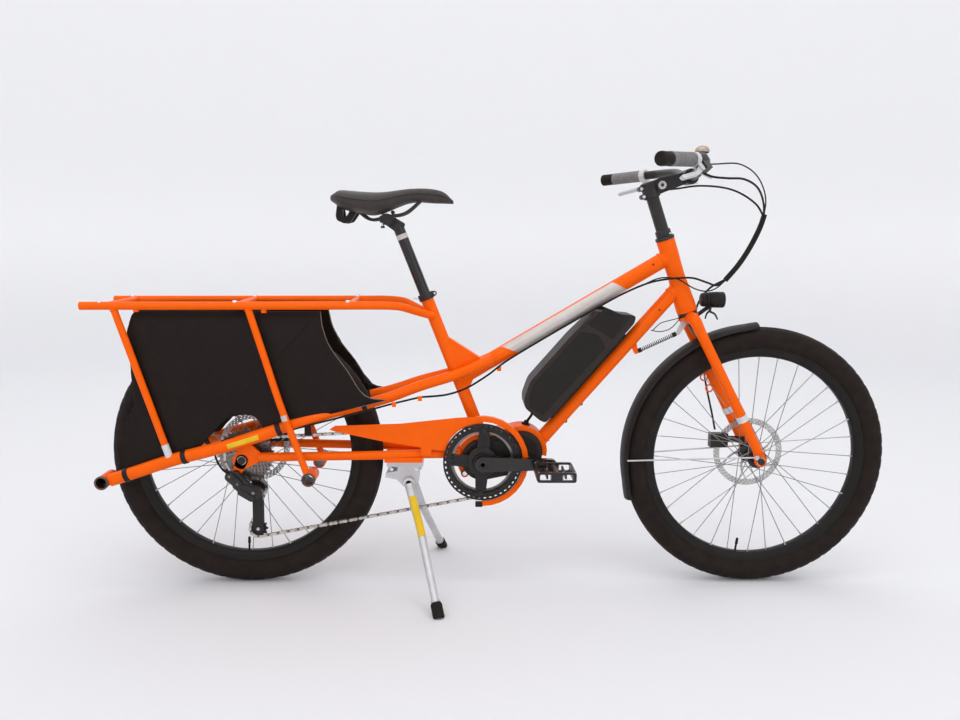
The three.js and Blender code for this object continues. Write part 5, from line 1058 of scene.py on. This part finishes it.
# Handlebar and grips
def bar_points(side):
    return [(BAR_X, 0, BAR_Z), (BAR_X, side * 30, BAR_Z), (1089, side * 60, 1038), (1087, side * 120, 1052),
            (1060, side * 206, 1055.5), (1047.7, side * 217.9, 1054.6), (937, side * 325, 1046)]


bar = Form()
for side, _ in SIDES:
    bar.tube(smooth_path(bar_points(side), 10), 11.1, 28)
bar.cross(BAR_X, BAR_Z, 12.7, -30, 30)
bar.stand_in("handlebar", "steering", black)
KNEE, TIP = Vector((1060, -206, 1055.5)), Vector((937, -325, 1046))
GRIP, LONG = unit(TIP - KNEE), (TIP - KNEE).length


def mirrored(v, side):
    return Vector((v.x, -side * v.y, v.z))


for side, word in SIDES:
    start, end = mirrored(KNEE + GRIP * (LONG - 118), side), mirrored(TIP + GRIP * 4, side)
    grip = Form()
    profile = [(11.6, 0), (14.6, 0), (15.5, 1.5), (15.5, 5)]
    for k in range(9):
        profile += [(15.4, 8 + 7 * k), (14.4, 9 + 7 * k), (14.4, 12 + 7 * k), (15.4, 13 + 7 * k)]
    profile += [(15.6, 78), (15.8, 84), (14.2, 85)]
    grip.lathe(profile + [(11.6, 85)], start, end - start, 40, 0)
    grip.lathe([(11.6, 85), (14.3, 85), (15, 88), (15, 102), (15.5, 116), (15, 120), (12, 122), (0, 122)],
               start, end - start, 40, 1)
    grip.stand_in(f"grip_{word}", "steering", [grey_rubber, rubber], 30)
    dressed(f"lever_perch_{word}", "steering", silver, 1.5)
    dressed(f"brake_lever_{word}", f"brake_lever_{word}", silver, 2.6)
dressed("shifter", "steering", satin, 3)
dressed("shift_lever", "shift_lever", silver, 1.3)
bell = Form()
bell.lathe([(0, 15), (4, 14.9), (9, 13.6), (13.5, 10.6), (16.2, 6), (17, 1), (16.6, 0), (15.8, 0.2),
            (0, 0.2)], (*BELL, 1083), (0, 0, 1), 48)
bell.lathe([(0, -1), (15, -1), (15, 1), (0, 1)], (*BELL, 1082), (0, 0, 1), 40, 1)
bell.rod((*BELL, 1047), (*BELL, 1083), 7, None, 28, 1)
bell.lathe([(11.4, 0), (14, 0), (14, 10), (11.4, 10)], (1088, -101, 1046.8), (0, 1, 0), 36, 1, True)
bell.lathe([(0, 0), (3, 0), (2.2, 1.4), (0, 1.8)], (*BELL, 1096.6), (0, 0, 1), 20, 2)
bell.stand_in("bell", "steering", [champagne, plastic, bright], 35, 0.4)
dressed("bell_lever", "bell_lever", satin, 0.8)

# Seatpost, clamp and saddle
post = Form()
TOP = on_seat(181)
post.rod(on_seat(-228), TOP, 13.6, None, 40)
post.prism(hull([(TOP.x, TOP.z, 13.4), (353, 924, 13), (390, 912, 5)]), -12, 12, 1)
post.cross(353, 924, 14, -27, 27, 32, 1)
post.box((336, -25, 916), (371, 25, 932), 1)
for x in (341, 366):
    post.rod((x, 0, 905), (x, 0, 943), 3.2, None, 16, 2)
    post.rod((x, 0, 903), (x, 0, 908), 5, None, 20, 1)
    post.rod((x, -9, 941), (x, 9, 941), 4.6, None, 20, 1)
band(post, on_seat(150), on_seat(162), 13.6, 3, 0.25)
for side in (1, -1):
    rail = [(x, side * y, z) for x, y, z in ((285, 30, 942), (314, 22, 923), (355, 22, 930.8),
                                             (396, 22, 938.5), (433, 14, 968))]
    post.tube(smooth_path(rail, 7), 3.6, 16, 1)
post.stand_in("seatpost", "seatpost", [gloss, satin, bright, decal], 38, 1)
collar = Form()
collar.lathe([(15.95, -9), (18.4, -9), (19.2, -8), (19.2, 6), (18.4, 7), (13.9, 7), (13.9, 0.4),
              (15.95, 0.4)], SEAT_TOP, SEAT_UP, 48, 0, True)
collar.prism([hull([(467, 745.5, 6), (458, 742, 8)], 32), circle(468, 746, 2.8, 20)], -7, 7)
collar.cross(468, 746, 2.7, -9.5, 9.5, 20, 1)
wire = [(427 - 11 * sin(t), 6 * cos(t), 731 + 1.5 * sin(t)) for t in (pi * k / 12 for k in range(13))]
collar.tube(wire, 1.3, 12, 1)
collar.stand_in("seat_collar", "frame", [satin, bright], 38, 0.6)
SADDLE_SHARES = ((0, 0.5, 0.5, 0.68), (0.017, 0.68, 0.43, 0.76), (0.045, 0.82, 0.31, 0.88),
                 (0.09, 0.93, 0.21, 0.9), (0.16, 1, 0.12, 0.87), (0.24, 1, 0.06, 0.845),
                 (0.33, 0.92, 0, 0.83), (0.39, 0.8, 0.06, 0.835), (0.445, 0.68, 0.14, 0.855),
                 (0.53, 0.5, 0.3, 0.915), (0.62, 0.36, 0.45, 0.975),
                 (0.705, 0.28, 0.51, 1), (0.79, 0.24, 0.48, 0.995), (0.866, 0.21, 0.465, 0.955),
                 (0.924, 0.18, 0.463, 0.88), (0.964, 0.14, 0.463, 0.74), (1, 0.06, 0.455, 0.52))
SADDLE_REAR, SADDLE_LOW, SADDLE_LONG, SADDLE_HALF, SADDLE_HIGH = 223, 932, 290, 92, 67


def saddle_at(share):
    for (a, *low), (b, *high) in zip(SADDLE_SHARES, SADDLE_SHARES[1:]):
        if share <= b:
            t = (share - a) / (b - a)
            return [p + (q - p) * t for p, q in zip(low, high)]
    return SADDLE_SHARES[-1][1:]


def saddle_ring(along, count=56):
    shares = [saddle_at(min(1, max(0, along + d))) for d in (-0.025, 0, 0.025)]
    wide, low, high = [sum(s[i] for s in shares) / 3 for i in range(3)]
    middle, half = SADDLE_LOW + SADDLE_HIGH * (low + high) / 2, SADDLE_HIGH * (high - low) / 2
    ring = []
    for k in range(count):
        a = 2 * pi * k / count
        c, s = cos(a), sin(a)
        drawn = 1 + 0.28 * s if s < 0 else 1
        across = (1 if c > 0 else -1) * abs(c) ** 0.7 * drawn
        up = (1 if s > 0 else -1) * abs(s) ** (0.5 if s < 0 else 0.85)
        groove = 0
        if s > 0:
            groove = 2.2 * max(0, 1 - abs(across * wide) / 0.12) * max(0, sin(pi * min(1, along / 0.75)))
        ring.append((SADDLE_REAR + along * SADDLE_LONG, across * wide * SADDLE_HALF,
                     middle + half * up - groove))
    return ring


saddle = Form()
saddle.rings([saddle_ring(k / 60) for k in range(61)])
cushion = saddle.build("saddle_cover", "seatpost", hide, "saddle", 60)
shell_form = Form()
for side in (1, -1):
    seam = [saddle_ring(k / 40)[1 if side > 0 else 27] for k in range(2, 39)]
    shell_form.tube([(x, y * 1.004, z) for x, y, z in seam], 0.9, 8)
hook = rounded([(236, 962), (232, 930), (235, 920), (252, 912.6), (268, 917), (281, 936), (288, 952),
                (272, 952), (264, 940), (257, 928), (249, 929), (246, 947), (250, 960)], 4)
for side in (1, -1):
    shell_form.prism(hook, *span(side, 20, 34))
shell_form.prism(rounded([(236, 956), (232, 930), (235, 920), (244, 917), (246, 956)], 4), -30, 30)
shell_form.build("saddle_bumper", "seatpost", plastic, (), 38, 1)

# Stand: bracket, two legs and rubber feet cut flat on the ground
bracket = Form()
bracket.prism([(376, 316), (376, 300), (348, 294), (344, 283), (374, 277), (390, 260), (418, 258), (430, 274),
               (430, 316)], -30, 30)
bracket.box((349, -32, 311), (440, 32, 328.2))
bracket.box((392, -18, 300), (436, 18, 327))
for low, high in ((-33.6, -32.2), (29.8, 30.4)):
    bracket.cross(STAND_X, STAND_Z, 12.5, low, high, 28)
for x in (362, 424):
    bracket.cross(x, 304, 4, -31.4, 31.4, 16, 1)
bracket.rod((405, 0, 309), (405, 0, 331), 7, None, 6, 1)
bracket.build("stand_bracket", "frame", [silver, bright], "kickstand_bracket", 38, 2.2, 3)
legs = Form()
legs.cross(STAND_X, STAND_Z, 8, -45, 45)
for side in (1, -1):
    low, high = span(side, 30.8, 45)
    legs.cross(STAND_X, STAND_Z, 14, low, high)
    pivot, knee = Vector((STAND_X, side * 45, STAND_Z)), Vector((436, side * 80, 165))
    foot = Vector((483, side * 214, 9.5))
    legs.tube(smooth_path([pivot, pivot.lerp(knee, 0.55), knee.lerp(pivot, 0.12), knee.lerp(foot, 0.14),
                           knee.lerp(foot, 0.5), foot], 7), lambda t: 11 - 1.5 * t, 28)
    up_leg = unit(knee - foot)
    sole, under = foot + up_leg * 24, foot - up_leg * 14
    legs.tube([sole, sole.lerp(under, 0.12), sole.lerp(under, 0.88), under],
              lambda t: 12 if t in (0, 1) else 14, 28, 1)
    legs.tube([foot + up_leg * 25, foot + up_leg * 30], 11.4, 28, 2)
for v in legs.verts:
    v.z = max(v.z, 0)
legs.build("kickstand_legs", "kickstand", [silver, rubber, steel], "kickstand", 38, 0.8)
film = Form()
film_top, film_low = Vector((414.5, -55.7, 239.3)), Vector((437, -87, 152))
film_way = unit(film_low - film_top)
film_out = Vector((0.2, -1, 0))
film_side = unit(film_out - film_way * film_way.dot(film_out))
film_flat = film_way.cross(film_side)
leg_path = smooth_path([(STAND_X, -45, STAND_Z), (422.05, -64.25, 213.15), (432.28, -75.8, 177.84),
                        (442.58, -98.76, 143.23), (459.5, -147, 87.25), (483, -214, 9.5)], 12)
near = [p for p in leg_path if 150 < p.z < 243]
film.rings([[p + film_side * (11.5 * cos(t)) + film_flat * (11.5 * sin(t)) for p in near]
            for t in (radians(-52 + 104 * k / 8) for k in range(9))], 0, False, False, False)
film.build("stand_film", "kickstand", yellow)
stickers = Form()
way = unit((93, 0, 27))
for side, _ in SIDES:
    near = [p for p in smooth_path(side_route(side), 8) if -32 < p.x < 56][::-1]
    rows = [[p + Vector((-way.z * sin(t), side * cos(t), way.x * sin(t))) * 15.9 for p in near]
            for t in (radians(-22 + 44 * k / 8) for k in range(9))]
    stickers.rings(rows, 0, False, False, False)
stickers.build("side_tube_films", "frame", yellow)

# Hoses and cables
CABLES = (
    ("brake_hose_right", 2.5, "steering", ((1047, -252, 1023), (1066, -250, 1017), (1109, -220, 1016),
     (1165, -168, 1018), (1225, -95, 1002), (1264, -32, 966), (1276, -2, 938))),
    ("brake_hose_left", 2.5, "steering", ((1047, 252, 1023), (1066, 250, 1017), (1109, 220, 1018),
     (1165, 168, 1024), (1228, 95, 1010), (1268, 32, 972), (1279, 3, 940))),
    ("shift_cable", 1.6, "steering", ((1061, -217, 1045), (1088, -207, 1047), (1150, -171, 1051),
     (1218, -104, 1029), (1266, -36, 982), (1277, -2, 940))),
    ("cable_sheath", 6.5, "both", ((1279, 0, 946), (1270, 0, 915), (1248, 0, 866), (1222, 0, 823),
     (1190, -2, 784))),
    ("rear_cable", 2.5, "both", ((1195, -3, 788), (1165, -16, 772), (1134, -31, 780), (1100, -34, 790),
     (1068, -33, 790), (1003, -28, 780), (935, -26, 752), (850, -25, 704), (740, -25, 639), (640, -25, 576),
     (600, -27, 545), (547, -38, 514), (500, -49, 500), (434, -62, 495.5))),
    ("light_wire", 1.6, "both", ((1193, -2, 786), (1160, -22, 764), (1136, -29, 758), (1106, -33, 764),
     (1060, -30, 788), (1020, -27, 789), (990, -23, 777))),
    ("front_brake_hose", 2.5, "steering", ((1192, 2, 786), (1160, 24, 762), (1140, 52, 718), (1140, 66, 660),
     (1158, 70, 600), (1180, 70, 500), (1196, 62, 430), (1200, 44, 392))),
)
for name, radius, body, places in CABLES:
    form = Form()
    form.tube(smooth_path(places, 9), radius, 12)
    stands_for = "control_cables" if name == "rear_cable" else ()
    made = form.build(name, "" if body == "both" else body, rubber, stands_for, 60)
    if body == "both":
        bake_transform(made)
loop = Form()
for places in (((1086, -12, 703), (1079, -12, 692), (1055, -12, 684), (1030, -12, 676), (1010, -10, 656)),
               ((1086, -9, 701), (1076, -9, 684), (1055, -9, 662), (1030, -9, 655), (1008, -8, 658))):
    loop.tube(smooth_path(places, 8), 1.1, 8)
made = loop.build("crown_wires", "", rubber, (), 60)
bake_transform(made)
ends = Form()
ends.tube(smooth_path([(434, -62, 495.5), (371, -78, 483), (300, -82, 464), (190, -86, 436), (60, -88, 404),
                       (-40, -92, 392), (-58, -94, 360), (-40, -92, 318), (-22, -86, 306)], 8), 2.4, 12)
for x, y, z in ((629, -18, 558), (434, -62, 490), (372, -76, 478)):
    ends.box((x - 5, y - 6, z - 3), (x + 5, y + 2, z + 8), 1)
ends.build("rear_cable_run", "frame", [rubber, orange], (), 60)

# Pale stage, its paper painted darker on the floor than up the walls as painted shade, and soft light
profile = [(3200, 0), (4600, 0)]
profile += [(4600 + 1600 * sin(radians(a)), 1600 * (1 - cos(radians(a)))) for a in range(10, 91, 10)]
profile += [(6200, 5200)]
made = bmesh.new()
rows = [[made.verts.new((r / 1000 * cos(a), r / 1000 * sin(a), z / 1000)) for a in
         (2 * pi * k / 96 for k in range(96))] for r, z in profile]
made.faces.new(rows[0])
for low, high in zip(rows, rows[1:]):
    for k in range(96):
        made.faces.new([low[k], low[(k + 1) % 96], high[(k + 1) % 96], high[k]])
bmesh.ops.recalc_face_normals(made, faces=made.faces)
bmesh.ops.reverse_faces(made, faces=made.faces)
data = as_mesh(made, "stage")
for polygon in data.polygons:
    polygon.use_smooth = True
backdrop = surface("stage paper", (0.85, 0.853, 0.875), 0.9, 0, 30, 0.0, 0.004, spec=0)
tree = backdrop.node_tree
axes = tree.nodes.new("ShaderNodeSeparateXYZ")
tree.links.new(tree.nodes["Texture Coordinate"].outputs["Object"], axes.inputs["Vector"])
# painted shade: the paper's colour is darkest on the floor and ramps lighter up the walls, up to a metre's
# height
floor_shade_ramp = tree.nodes.new("ShaderNodeValToRGB")
floor_shade_ramp.color_ramp.interpolation = "EASE"
floor_shade_ramp.color_ramp.elements[0].color = (0.775, 0.777, 0.797, 1)
floor_shade_ramp.color_ramp.elements[1].color = (0.9, 0.902, 0.91, 1)
tree.links.new(axes.outputs["Z"], floor_shade_ramp.inputs["Fac"])
tree.links.new(floor_shade_ramp.outputs["Color"], tree.nodes["Principled BSDF"].inputs["Base Color"])
data.materials.append(backdrop)
floor = bpy.data.objects.new("stage", data)
scene.collection.objects.link(floor)


def lamp(name, place, aim, size, power):
    data = bpy.data.lights.new(name, "AREA")
    data.shape = "RECTANGLE"
    data.size, data.size_y = size
    data.energy = power
    made = bpy.data.objects.new(name, data)
    made.location = place
    made.rotation_euler = (Vector(aim) - Vector(place)).to_track_quat("-Z", "Y").to_euler()
    scene.collection.objects.link(made)


lamp("top_strip", (0, -0.7, 3.2), (0, 0, 0.4), (2.8, 0.16), 9)
lamp("key_strip", (-1.4, -2.8, 2.4), (0, 0, 0.6), (1.6, 0.2), 9)
lamp("fill_strip", (2.3, -2.6, 1.7), (0, 0, 0.5), (0.25, 1.4), 6)
lamp("back_strip", (0, 3.0, 2.6), (0, 0, 0.5), (2.6, 0.3), 3)
world = bpy.data.worlds.new("studio")
scene.world = world
world.use_nodes = True
sky = world.node_tree.nodes["Background"].inputs
sky["Color"].default_value = (0.975, 0.975, 0.99, 1)
sky["Strength"].default_value = 1.22
